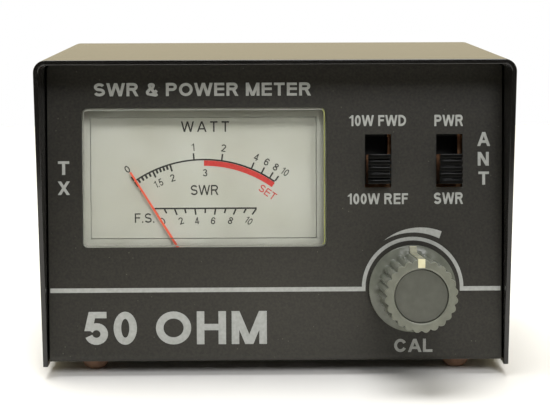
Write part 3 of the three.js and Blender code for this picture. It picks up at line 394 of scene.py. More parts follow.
ink_red = dial_ink("red_dial_ink", "#c22f2c", "#cf3e38")
# Painted shade: the clear front's step walls are an opaque darker grey.
step_painted_shade = moulded("styrene_step_painted_shade", "#84857a", "#94958a", (0.45, 0.6), 0.6, 0.01, 0.2)
# The clear front's front bevels in pale opaque grey, and a painted yellow-green glow for the right-facing ones.
pale_front_edge = moulded("pale_styrene_edge", "#a9a99f", "#bcbcb2", (0.4, 0.55), 0.6, 0.01, 0.2)
edge_painted_glow = moulded("styrene_edge_painted_glow", "#a8ad62", "#bcc079", (0.4, 0.55), 0.6, 0.01, 0.2)
worn_cream = moulded("worn_cream_paint", "#787b70", "#b5b296", (0.3, 0.5), 0.5, 0.02, 0.2)
knob_rim = moulded("pale_rim_moulding", "#6e7065", "#7b7d71", (0.25, 0.4), 0.6, 0.012, 0.25)
print(len(surfaces), "finishes for the model's pieces, and the inks and worn edges")

# %% [markdown]
# ## Every model piece gets its finish
#
# The record of the model says which finish each piece has. The loop below puts the material made above on
# each piece, so that nothing shows in the plain colour that it was imported with.

# %% Put the finishes on the model's pieces
finish_of = {part["node"]: part["material_slot"] for part in frame["record"]["subparts"]}
body_of = {
    node: body for body, nodes in frame["record"]["behaviour"]["bodies"].items() for node in nodes
}
for name, piece in frame["nodes"].items():
    piece.data.materials.clear()
    piece.data.materials.append(surfaces[finish_of[name]])
print("finishes on", len(frame["nodes"]), "pieces")

# %% [markdown]
# ## Helpers for modelling
#
# An operator works on what is selected, so each step first deselects everything. A new piece is modelled
# near the origin and then its place is put in its mesh, which leaves the object itself at the origin.

# %% Modelling helpers
def only(piece):
    """Makes this the one selected and active object."""
    bpy.ops.object.select_all(action="DESELECT")
    piece.select_set(True)
    bpy.context.view_layer.objects.active = piece
    return piece


def pick(piece, kind, wanted):
    """In edit mode, selects the vertices, edges or faces for which wanted(centre, normal) is true."""
    bpy.ops.mesh.select_all(action="DESELECT")
    bpy.ops.mesh.select_mode(type=kind)
    bpy.ops.object.mode_set(mode="OBJECT")
    points = piece.data.vertices
    if kind == "FACE":
        for face in piece.data.polygons:
            face.select = wanted(face.center, face.normal)
    elif kind == "EDGE":
        for edge in piece.data.edges:
            ends = [points[i].co for i in edge.vertices]
            edge.select = wanted((ends[0] + ends[1]) / 2, (ends[1] - ends[0]).normalized())
    else:
        for point in points:
            point.select = wanted(point.co, point.normal)
    bpy.ops.object.mode_set(mode="EDIT")


def apply_modifier(piece, kind, **settings):
    """Adds a modifier with these settings and applies it."""
    only(piece)
    modifier = piece.modifiers.new(kind.lower(), kind)
    for name, value in settings.items():
        setattr(modifier, name, value)
    bpy.ops.object.modifier_apply(modifier=modifier.name)


def cut_away(piece, cutter):
    """Takes the cutter's shape out of a piece and removes the cutter."""
    apply_modifier(piece, "BOOLEAN", operation="DIFFERENCE", object=cutter, solver="EXACT")
    bpy.data.objects.remove(cutter)


def copy_of(piece):
    """A copy of a piece, with a mesh of its own."""
    only(piece)
    bpy.ops.object.duplicate()
    return bpy.context.object


def round_edges(piece, width, segments=2, sharper_than=35):
    """Rounds the sharp edges by this many millimetres, with large faces left looking flat."""
    apply_modifier(
        piece,
        "BEVEL",
        width=width * MM,
        segments=segments,
        limit_method="ANGLE",
        angle_limit=math.radians(sharper_than),
    )
    bpy.ops.object.shade_smooth_by_angle(angle=math.radians(32))
    apply_modifier(piece, "WEIGHTED_NORMAL", weight=100, keep_sharp=True)


def place_mesh(piece, matrix):
    """Moves the mesh and leaves the object at the origin."""
    bpy.context.view_layer.update()
    piece.data.transform(matrix @ piece.matrix_world)
    piece.matrix_world = Matrix.Identity(4)
    piece.data.update()


def hand_over(piece, name, body, slot, material=None, stands_for=()):
    """Names a finished piece, gives it its finish and makes it move with its body."""
    piece.name = name
    if material is not False:
        piece.data.materials.clear()
        piece.data.materials.append(material or surfaces[slot])
    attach(piece, body)
    if stands_for:
        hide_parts(*stands_for)
    return piece


def joined(pieces):
    """Several pieces as one object."""
    only(pieces[0])
    for piece in pieces:
        piece.select_set(True)
    bpy.ops.object.join()
    return bpy.context.object


def finished_copy(node, edge, segments=2):
    """A merged copy of a model piece with its sharp edges rounded, which stands for the piece."""
    piece = copy_of(frame["nodes"][node])
    for key in list(piece.keys()):
        del piece[key]
    piece.parent = None
    piece.matrix_world = Matrix.Identity(4)
    bpy.ops.mesh.customdata_custom_splitnormals_clear()
    bpy.ops.object.mode_set(mode="EDIT")
    bpy.ops.mesh.select_all(action="SELECT")
    bpy.ops.mesh.remove_doubles(threshold=0.002 * MM)
    bpy.ops.mesh.dissolve_limited(angle_limit=math.radians(0.4))
    bpy.ops.object.mode_set(mode="OBJECT")
    round_edges(piece, edge, segments)
    return hand_over(piece, node + "_finished", body_of[node], finish_of[node], stands_for=[node])


# %% [markdown]
# ## Pressed and moulded edges
#
# No real edge is perfectly sharp: sheet steel is deburred, mouldings have a small radius and turned parts
# are chamfered. Those edges catch the light, and they tell the eye that a thing is real. The same
# finishing works for every piece whose shape is already right, each with its own radius in millimetres.

# %% Round the edges of the model's pieces
EDGE_RADII = {
    "chassis": 0.2,
    "meter_housing": 0.3,
    "fwd_ref_handle": 0.14,
    "pwr_swr_handle": 0.14,
    "tx_socket_insulator": 0.2,
    "antenna_socket_insulator": 0.2,
    "tx_socket_contact": 0.15,
    "antenna_socket_contact": 0.15,
    "coupler_shield": 0.1,
}
for node, radius in EDGE_RADII.items():
    made = finished_copy(node, radius)
    print(made.name, len(made.data.polygons), "faces")

# %% [markdown]
# ## The cover
#
# The cover is one strip of 1.2 mm steel folded twice into an upside-down U, then enamelled. It is modelled
# in the same order as it was made: a box as big as the outside, the bottom and both ends taken away, the
# two long upper edges rounded like the bends, and then the wall thickened inwards. Holes for the screws
# are cut last, and every cut edge is eased a little, as paint does.

# %% Fold the cover
cover_low, cover_high = (Vector(corner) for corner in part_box("cover"))
SHEET = 1.2
COVER_BEND = 3.0
COVER_EASE = 0.22
bpy.ops.object.select_all(action="DESELECT")
bpy.ops.mesh.primitive_cube_add(size=1)
cover = bpy.context.object
cover.scale = cover_high - cover_low
cover.location = (cover_low + cover_high) / 2
bpy.ops.object.transform_apply(location=True, rotation=True, scale=True)
bpy.ops.object.mode_set(mode="EDIT")
pick(cover, "FACE", lambda middle, normal: normal.z < -0.9 or abs(normal.y) > 0.9)
bpy.ops.mesh.delete(type="FACE")
pick(cover, "EDGE", lambda middle, along: abs(along.y) > 0.9 and middle.z > cover_high.z - MM)
bpy.ops.mesh.bevel(offset=COVER_BEND * MM, segments=8)
bpy.ops.object.mode_set(mode="OBJECT")
apply_modifier(cover, "SOLIDIFY", thickness=SHEET * MM, offset=-1.0, use_even_offset=True)


def drill(piece, centre, axis, radius, depth):
    """Cuts a round hole through a piece."""
    bpy.ops.object.select_all(action="DESELECT")
    turn = Vector(axis).to_track_quat("Z", "Y").to_euler()
    bpy.ops.mesh.primitive_cylinder_add(
        vertices=40, radius=radius * MM, depth=depth * MM, location=centre, rotation=turn
    )
    cut_away(piece, bpy.context.object)


SCREW_HOLE = 1.8
screw_nodes = [name for name in frame["nodes"] if name.startswith("cover_screw")]
for name in screw_nodes:
    low, high = (Vector(corner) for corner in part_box(name))
    drill(cover, (low + high) / 2, (1, 0, 0), SCREW_HOLE, 16)
round_edges(cover, COVER_EASE, 3, 50)
hand_over(cover, "folded_cover", "case", "cover_paint", stands_for=["cover"])
print("cover", len(cover.data.polygons), "faces, with", len(screw_nodes), "holes")

# %% [markdown]
# ## Turned pieces
#
# Knobs, feet and sockets are round, so they share one way of making: a circle is extruded again and
# again, and each new ring gets its own height and radius, as a lathe would leave it. A ring can also be
# fluted: its points are then pulled in by groups, the middle of each valley most of all. A solid piece
# has both its ends filled, and a tube runs back to its first ring and is welded there.

# %% Turn a piece from rings
FLUTE_POINTS = 6  # points from one valley to the next


def turned_piece(rings, sides=48, tube=False):
    """A piece about Z from rings of (radius, height, flute depth) in mm."""
    rings = [(ring + (0.0,))[:3] for ring in rings]
    bpy.ops.object.select_all(action="DESELECT")
    bpy.ops.mesh.primitive_circle_add(vertices=sides, radius=MM)
    piece = bpy.context.object
    bpy.ops.object.mode_set(mode="EDIT")
    bpy.ops.mesh.select_mode(type="VERT")
    bpy.ops.mesh.select_all(action="SELECT")
    bpy.ops.object.mode_set(mode="OBJECT")
    shares = [1 - math.sin(math.pi * group / FLUTE_POINTS) for group in range(FLUTE_POINTS // 2 + 1)]
    before = [1.0] * len(shares)
    height = 0.0
    for number, (radius, up, flute) in enumerate(rings):
        bpy.ops.object.mode_set(mode="EDIT")
        if number:
            bpy.ops.mesh.extrude_region_move()
        bpy.ops.transform.translate(value=(0, 0, (up - height) * MM))
        height = up
        after = [radius - flute * share for share in shares]
        if len({round(new / old, 9) for new, old in zip(after, before)}) == 1:
            bpy.ops.transform.resize(value=(after[0] / before[0], after[0] / before[0], 1))
        else:
            bpy.ops.object.mode_set(mode="OBJECT")
            moving = [point.index for point in piece.data.vertices if point.select]
            for group, (new, old) in enumerate(zip(after, before)):
                keep_selected(piece, moving, lambda co, group=group: flute_group(co, sides) == group)
                bpy.ops.transform.resize(value=(new / old, new / old, 1))
                bpy.ops.object.mode_set(mode="OBJECT")
            keep_selected(piece, moving, lambda co: True)
        before = after
        bpy.ops.object.mode_set(mode="OBJECT")
    bpy.ops.object.mode_set(mode="EDIT")
    bpy.ops.mesh.select_all(action="SELECT")
    if tube:
        bpy.ops.mesh.remove_doubles(threshold=0.001 * MM)
    else:
        bpy.ops.mesh.select_non_manifold()
        bpy.ops.mesh.edge_face_add()
    bpy.ops.mesh.select_all(action="SELECT")
    bpy.ops.mesh.normals_make_consistent(inside=False)
    bpy.ops.object.mode_set(mode="OBJECT")
    return piece


def flute_group(point, sides):
    """How far a point is from the nearest valley, in points."""
    number = round(math.atan2(point.y, point.x) / (2 * math.pi) * sides) % FLUTE_POINTS
    return min(number, FLUTE_POINTS - number)


def keep_selected(piece, numbers, wanted):
    """Selects those of the numbered points that are wanted, and goes to edit mode."""
    for kind in (piece.data.polygons, piece.data.edges, piece.data.vertices):
        for item in kind:
            item.select = False
    for number in numbers:
        piece.data.vertices[number].select = wanted(piece.data.vertices[number].co)
    bpy.ops.object.mode_set(mode="EDIT")
    bpy.ops.mesh.select_mode(type="VERT")


# %% [markdown]
# ## The knob
#
# The knob is one moulding: a skirt, a fluted grip that narrows a little towards its face, and a raised
# rim round a sunk disc. Twenty-four flutes run up the grip, and the mould's edges are softly rounded.
# Below, it is hollow round the nut and bored for the shaft. The rim's faces get a slightly paler,
# rougher finish than the rest.

# %% Mould the knob
FLUTES = 24
FLUTE = 0.65
GRIP, SKIRT, CAP = 8.9, 10.75, 6.35
KNOB_FACE = max(panel_place(v.co)[2] for v in frame["nodes"]["knob"].data.vertices)
KNOB_RINGS = [
    (2.5, 16.7),
    (2.5, 5.9),
    (3.8, 5.9),
    (3.8, 3.0),
    (6.6, 3.0),
    (6.6, 0.9),
    (SKIRT - 0.3, 0.9),
    (SKIRT - 0.08, 0.98),
    (SKIRT, 1.2),
    (SKIRT, 1.9),
    (SKIRT - 0.1, 2.06),
    (SKIRT - 0.4, 2.2),
    (GRIP + 0.75, 2.6),
    (GRIP + 0.3, 2.75, 0.3),
    (GRIP, 3.1, FLUTE),
    (0.985 * GRIP, 12.0, FLUTE),
    (0.97 * GRIP, KNOB_FACE - 0.45, FLUTE),
    (0.965 * GRIP, KNOB_FACE - 0.15, 0.95 * FLUTE),
    (0.95 * GRIP, KNOB_FACE, 0.85 * FLUTE),
    (CAP + 0.8, KNOB_FACE, 0.05),
    (CAP + 0.25, KNOB_FACE),
    (CAP + 0.06, KNOB_FACE - 0.08),
    (CAP, KNOB_FACE - 0.3),
    (CAP, 18.1),
]
knob = turned_piece(KNOB_RINGS, sides=FLUTES * FLUTE_POINTS)
bpy.ops.object.shade_smooth_by_angle(angle=math.radians(40))
knob.data.materials.append(surfaces["knob_grey"])
knob.data.materials.append(knob_rim)
for face in knob.data.polygons:
    face.material_index = int(face.center.z > (KNOB_FACE - 0.35) * MM)
place_mesh(knob, on_panel(knob_across, KNOB_HEIGHT))
hand_over(knob, "fluted_knob", "cal_control", "knob_grey", False, stands_for=["knob"])
print("knob", len(knob.data.polygons), "faces, face", KNOB_FACE, "mm from the panel")

# %% The knob's disc and its pointer
finished_copy("knob_cap", 0.18, 3)
pointer = finished_copy("knob_pointer", 0.1)
pointer.data.materials.append(worn_cream)
for face in pointer.data.polygons:
    face.material_index = int(3.4 < panel_place(face.center)[2] < KNOB_FACE - 0.7)
print("pointer, worn on", sum(face.material_index for face in pointer.data.polygons), "faces")

# %% [markdown]
# ## Switch frames
#
# Behind each slot is the switch's own plate of copper-flashed steel. Its opening doesn't quite line up
# with the slot, so a bright edge shows beside and below the handle. A plane is inset, the inner face is
# moved to where the opening is and deleted, and the rest is given the plate's thickness. One plate is
# made, and each slot gets a copy.

# %% Stamp the switch frames
PLATE = (9.4, 24.0)
PLATE_THICKNESS = 0.5
PLATE_HOLE, HOLE_HEIGHT = 1.1, 9.2  # radius, and mm above and below the middle
OPENING = ((-3.15, 2.9), (-5.85, 7.15))  # mm from the middle of the slot
SLOT_CENTRE = 49.7  # mm up the panel
bpy.ops.object.select_all(action="DESELECT")
bpy.ops.mesh.primitive_plane_add(size=MM)
first_plate = bpy.context.object
bpy.ops.object.mode_set(mode="EDIT")
bpy.ops.mesh.select_all(action="SELECT")
bpy.ops.transform.resize(value=(PLATE[0], PLATE[1], 1))
bpy.ops.mesh.inset(thickness=MM)
inner = (PLATE[0] - 2, PLATE[1] - 2)
wide, tall = (high - low for low, high in OPENING)
bpy.ops.transform.resize(value=(wide / inner[0], tall / inner[1], 1))
bpy.ops.transform.translate(value=[sum(ends) / 2 * MM for ends in OPENING] + [0])
bpy.ops.mesh.delete(type="FACE")
bpy.ops.object.mode_set(mode="OBJECT")
apply_modifier(first_plate, "SOLIDIFY", thickness=PLATE_THICKNESS * MM, offset=-1.0)
for end in (-1, 1):
    drill(first_plate, (0, end * HOLE_HEIGHT * MM, 0), (0, 0, 1), PLATE_HOLE, 4)
round_edges(first_plate, 0.08)

# %% Put a frame behind each slot
for switch in ("fwd_ref", "pwr_swr"):
    node = switch + "_switch_frame"
    places = [panel_place(v.co) for v in frame["nodes"][node].data.vertices]
    across = sum(f(place[0] for place in places) for f in (min, max)) / 2
    plate = copy_of(first_plate)
    place_mesh(plate, on_panel(across, SLOT_CENTRE, max(place[2] for place in places)))
    hand_over(plate, switch + "_plate", "case", "switch_copper", stands_for=[node])
    print(plate.name, "at", round(across, 2), "mm across")
bpy.data.objects.remove(first_plate)

# %% [markdown]
# ## The clear front of the meter
#
# The meter looks out through a styrene moulding: a flange behind the panel and a raised window that fills
# the opening. It is thicker round its edge, and the walls of the step between are a darker grey: painted
# shade that shows the step as a thin line inside the frame.
# Its front bevels are a pale opaque grey, and those facing right a painted yellow-green glow. A block is
# bevelled for the window, joined to the flange, and hollowed from behind by a second block whose sides
# slope, as a mould's must to let the piece go.

# %% Mould the clear front
CLEAR_WALL = 1.4
NEAR_EDGE = 0.1  # mm, how near the hollow a face must be to be one of its walls
RIM = ((1.3, 1.8), (1.5, 1.7))  # mm of thick edge: left and right, below and above
SLOPE = 0.45  # mm, how far each side leans in
WINDOW_EDGE = 0.3
WINDOW_CORNER = 1.1


def block(*spans):
    """A plain block between these limits in mm."""
    bpy.ops.object.select_all(action="DESELECT")
    bpy.ops.mesh.primitive_cube_add(size=1)
    piece = bpy.context.object
    piece.scale = [(high - low) * MM for low, high in spans]
    piece.location = [(low + high) / 2 * MM for low, high in spans]
    bpy.ops.object.transform_apply(location=True, rotation=True, scale=True)
    return piece


def span(places, axis):
    values = [place[axis] for place in places]
    return min(values), max(values)


places = [panel_place(v.co) for v in frame["nodes"]["meter_cover"].data.vertices]
back, front = span(places, 2)
face_places = [place for place in places if place[2] > front - 0.01]
window_spans = [span(face_places, axis) for axis in (0, 1)]
window = block(*window_spans, (back, front))
bpy.ops.object.mode_set(mode="EDIT")
pick(window, "EDGE", lambda middle, along: abs(along.z) > 0.9)
bpy.ops.mesh.bevel(offset=WINDOW_CORNER * MM, segments=6)
pick(window, "EDGE", lambda middle, along: middle.z > (front - 0.01) * MM and abs(along.z) < 0.1)
bpy.ops.mesh.bevel(offset=WINDOW_EDGE * MM, segments=2)
bpy.ops.object.mode_set(mode="OBJECT")
flange = block(span(places, 0), span(places, 1), (back, back + CLEAR_WALL))
apply_modifier(window, "BOOLEAN", operation="UNION", object=flange, solver="EXACT")
bpy.data.objects.remove(flange)
hollow_spans = [(low + rim[0], high - rim[1]) for (low, high), rim in zip(window_spans, RIM)]
hollow = block(*hollow_spans, (back - 1, front - CLEAR_WALL))
bpy.ops.object.mode_set(mode="EDIT")
pick(hollow, "FACE", lambda middle, normal: normal.z > 0.9)
narrowing = [1 - 2 * SLOPE / (high - low) for low, high in hollow_spans]
bpy.ops.transform.resize(value=(narrowing[0], narrowing[1], 1))
bpy.ops.object.mode_set(mode="OBJECT")
cut_away(window, hollow)
for material in (surfaces["clear_plastic"], step_painted_shade, pale_front_edge, edge_painted_glow):
    window.data.materials.append(material)
for face in window.data.polygons:
    tilted = abs(face.normal.z) < 0.99
    # The front bevels: a painted glow on those facing right, pale grey on the rest.
    if tilted and face.center.z > (front - WINDOW_EDGE) * MM:
        face.material_index = 3 if face.normal.x > 0.2 else 2
    # Painted shade on the step's walls inside the hollow.
    elif tilted and face.center.z < (front - CLEAR_WALL) * MM:
        spots = (face.center.x / MM, face.center.y / MM)
        inside = [
            low - NEAR_EDGE < spot < high + NEAR_EDGE for spot, (low, high) in zip(spots, hollow_spans)
        ]
        face.material_index = int(all(inside))
place_mesh(window, on_panel(0, 0))
hand_over(window, "clear_front", "case", "clear_plastic", False, stands_for=["meter_cover"])
print("clear front", len(window.data.polygons), "faces, from", round(back, 2), "to", round(front, 2), "mm")

# %% [markdown]
# ## Feet and screws
#
# The feet are soft rubber buttons: a dome that swells where it leaves the floor, a groove that the sheet
# sits in, and a bulb that holds them. One is turned and each place gets a copy. The screws keep the
# model's shape, with their edges eased like a rolled head's.

# %% Turn the feet
FOOT_RINGS = [
    (1.5, 0.08),
    (1.8, 0.0),
    (2.35, 0.25),
    (2.9, 0.8),
    (3.25, 1.6),
    (3.4, 2.4),
    (3.4, 3.3),
    (3.25, 3.5),
    (1.6, 3.5),
    (1.6, 4.9),
    (2.3, 4.9),
    (2.4, 5.3),
    (2.0, 6.2),
    (1.1, 7.2),
    (0.8, 7.3),
]
foot_nodes = [name for name in frame["nodes"] if name.startswith("foot_")]
first_foot = turned_piece(FOOT_RINGS, sides=40)
bpy.ops.object.shade_smooth_by_angle(angle=math.radians(50))
for node in foot_nodes:
    foot = copy_of(first_foot)
    low, high = (Vector(corner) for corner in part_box(node))
    place_mesh(foot, Matrix.Translation(((low.x + high.x) / 2, (low.y + high.y) / 2, low.z)))
    hand_over(foot, "rubber_" + node, "case", "brown_rubber", stands_for=[node])
bpy.data.objects.remove(first_foot)
for node in screw_nodes:
    finished_copy(node, 0.12)
print(len(foot_nodes), "feet and", len(screw_nodes), "screws")

# %% [markdown]
# ## The coaxial sockets
#
# Each socket has a nickel-plated brass shell with a coarse thread for the plug's ring, four notches in
# its rim that stop the plug from turning, and a round flange. The tube is turned first and the notches
# are cut. The thread is a small triangle carried round by a Screw modifier: one pitch up for each turn.

# %% Turn and thread the sockets
PITCH = 1.058
ROOT, CREST, BORE, FLANGE, SOCKET_OUT = 7.3, 7.92, 6.2, 11.5, 13.5
SHELL_RINGS = [
    (BORE, -8.0),
    (ROOT, -8.0),
    (ROOT, 0.1),
    (FLANGE - 0.3, 0.1),
    (FLANGE, 0.4),
    (FLANGE, 1.9),
    (FLANGE - 0.4, 2.3),
    (ROOT + 0.7, 2.3),
    (ROOT, 2.6),
    (ROOT, SOCKET_OUT - 0.6),
    (ROOT - 0.5, SOCKET_OUT),
    (BORE + 0.2, SOCKET_OUT),
    (BORE, SOCKET_OUT - 0.2),
    (BORE, -8.0),
]
NOTCH = (2.2, 1.0)  # mm wide and deep
THREAD_START, THREAD_TURNS = 3.4, 8


def cut_across(piece, width, low, high, turn):
    """Cuts a slot of this width right across a round piece, between two heights."""
    bpy.ops.object.select_all(action="DESELECT")
    bpy.ops.mesh.primitive_cube_add(
        size=1,
        scale=(40 * MM, width * MM, (high - low) * MM),
        location=(0, 0, (low + high) / 2 * MM),
        rotation=(0, 0, turn),
    )
    cut_away(piece, bpy.context.object)


shell = turned_piece(SHELL_RINGS, sides=64, tube=True)
for turn in (0, math.pi / 2):
    cut_across(shell, NOTCH[0], SOCKET_OUT - NOTCH[1], SOCKET_OUT + 1, turn)
only(shell)
bpy.ops.object.shade_smooth_by_angle(angle=math.radians(30))
bpy.ops.object.select_all(action="DESELECT")
bpy.ops.mesh.primitive_circle_add(vertices=3, radius=MM, rotation=(math.pi / 2, 0, 0))
thread = bpy.context.object
bpy.ops.object.transform_apply(location=True, rotation=True, scale=True)
corners = [(ROOT - 0.15, -0.47 * PITCH), (CREST, 0.0), (ROOT - 0.15, 0.47 * PITCH)]
for point, (radius, up) in zip(thread.data.vertices, corners):
    point.co = (radius * MM, 0, (THREAD_START + up) * MM)
apply_modifier(
    thread,
    "SCREW",
    axis="Z",
    angle=2 * math.pi,
    screw_offset=PITCH * MM,
    iterations=THREAD_TURNS,
    steps=48,
    render_steps=48,
    use_smooth_shade=False,
)
bpy.ops.object.mode_set(mode="EDIT")
bpy.ops.mesh.select_all(action="SELECT")
bpy.ops.mesh.remove_doubles(threshold=0.0005 * MM)
bpy.ops.mesh.select_non_manifold()
bpy.ops.mesh.fill_holes(sides=4)
bpy.ops.mesh.select_all(action="SELECT")
bpy.ops.mesh.normals_make_consistent(inside=False)
bpy.ops.object.mode_set(mode="OBJECT")
bpy.ops.object.shade_smooth_by_angle(angle=math.radians(30))
threaded = joined([shell, thread])
for name in ("tx", "antenna"):
    node = name + "_socket_shell"
    copy = copy_of(threaded)
    low, high = (Vector(corner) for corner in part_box(node))
    seat = Vector(((low.x + high.x) / 2, high.y - SOCKET_OUT * MM, (low.z + high.z) / 2))
    place_mesh(copy, Matrix.Translation(seat) @ Matrix.Rotation(-math.pi / 2, 4, "X"))
    hand_over(copy, name + "_threaded_shell", "case", "nickel", stands_for=[node])
    print(copy.name, len(copy.data.polygons), "faces")
bpy.data.objects.remove(threaded)

# %% [markdown]
# ## Printing, as thin solid ink
#
# The panel's words were silk-screened: ink squeezed through a stencil, a few hundredths of a millimetre
# thick, with crisp outlines. They could be a texture, but real ink has an edge that catches light and
# stays sharp however near one looks. So each shape is drawn as a flat closed curve, turned into a thin
# solid mesh, and stretched to the width and height that it was printed at.

# %% Helpers for printing
INK = 0.03  # mm, how far ink stands off its surface
SUNK = 0.02  # mm, how far its underside is sunk, so that no light leaks under it


def lay_ink(piece, place, left_right, low_high):
    """Stretches a flat piece in its XY plane to these ranges in mm and lays it at this place."""
    corners = [[f(v.co[axis] for v in piece.data.vertices) for f in (min, max)] for axis in range(3)]
    wanted = (left_right, low_high, (-SUNK, INK))
    stretch = Matrix.Identity(4)
    for axis, ((low, high), (start, end)) in enumerate(zip(corners, wanted)):
        stretch[axis][axis] = MM * (end - start) / (high - low)
        stretch[axis][3] = MM * start - low * stretch[axis][axis]
    place_mesh(piece, place @ stretch)


def shape(outline):
    """A flat closed outline of (x, y) points as a thin solid in metres."""
    curve = bpy.data.curves.new("outline", "CURVE")
    curve.dimensions = "2D"
    curve.fill_mode = "BOTH"
    curve.extrude = INK * MM
    spline = curve.splines.new("POLY")
    spline.points.add(len(outline) - 1)
    for point, (x, y) in zip(spline.points, outline):
        point.co = (x * MM, y * MM, 0, 1)
    spline.use_cyclic_u = True
    piece = bpy.data.objects.new("outline", curve)
    bpy.context.collection.objects.link(piece)
    only(piece)
    bpy.ops.object.convert(target="MESH")
    bpy.ops.object.mode_set(mode="EDIT")
    bpy.ops.mesh.select_all(action="SELECT")
    bpy.ops.mesh.remove_doubles(threshold=0.001 * MM)
    bpy.ops.mesh.normals_make_consistent(inside=False)
    bpy.ops.object.mode_set(mode="OBJECT")
    return piece


def oval(x, y, rx, ry, start, end, steps=20):
    """Points of an oval; its angles are in degrees clockwise from straight up."""
    turns = [math.radians(start + (end - start) * i / steps) for i in range(steps + 1)]
    return [(x + rx * math.sin(turn), y + ry * math.cos(turn)) for turn in turns]


def arc(centre, radius, start, end, steps=40):
    """Points of an arc of a circle."""
    return oval(*centre, radius, radius, start, end, steps)


def band(centre, inner, outer, start, end):
    """The outline of a piece of a ring."""
    return arc(centre, outer, start, end) + arc(centre, inner, end, start)


# %% [markdown]
# ## An alphabet of strokes
#
# Signs on equipment are set in plain upright letters whose strokes all have one thickness. Blender's own
# font has another character, so the letters are drawn here as a sign painter would: bars, slants with
# flat ends, and ribbons that follow ovals. A capital is 1 high, and `t` is how thick the strokes are.
# Where strokes cross they are welded into one solid, so that a word is a clean closed mesh.

# %% Strokes and letters
def slab(left, right, low, high):
    return [(left, low), (right, low), (right, high), (left, high)]


def slant(x0, y0, x1, y1, t):
    """A sloping stroke whose ends are level."""
    half = t * math.hypot(x1 - x0, y1 - y0) / abs(y1 - y0) / 2
    return [(x0 - half, y0), (x0 + half, y0), (x1 + half, y1), (x1 - half, y1)]


def ribbon(path, t):
    """The outline of a stroke of even thickness along a path."""
    sides = []
    for i, (x, y) in enumerate(path):
        (ax, ay), (bx, by) = path[max(i - 1, 0)], path[min(i + 1, len(path) - 1)]
        length = math.hypot(bx - ax, by - ay)
        across, up = (ay - by) / length * t / 2, (bx - ax) / length * t / 2
        sides.append(((x + across, y + up), (x - across, y - up)))
    return [left for left, _ in sides] + [right for _, right in reversed(sides)]


def ring(x, y, rx, ry, t):
    """A whole oval, in two halves that meet."""
    outer, inner = [(x, y, rx + side, ry + side) for side in (t / 2, -t / 2)]
    return [oval(*outer, a, a + 180) + oval(*inner, a + 180, a) for a in (0, 180)]


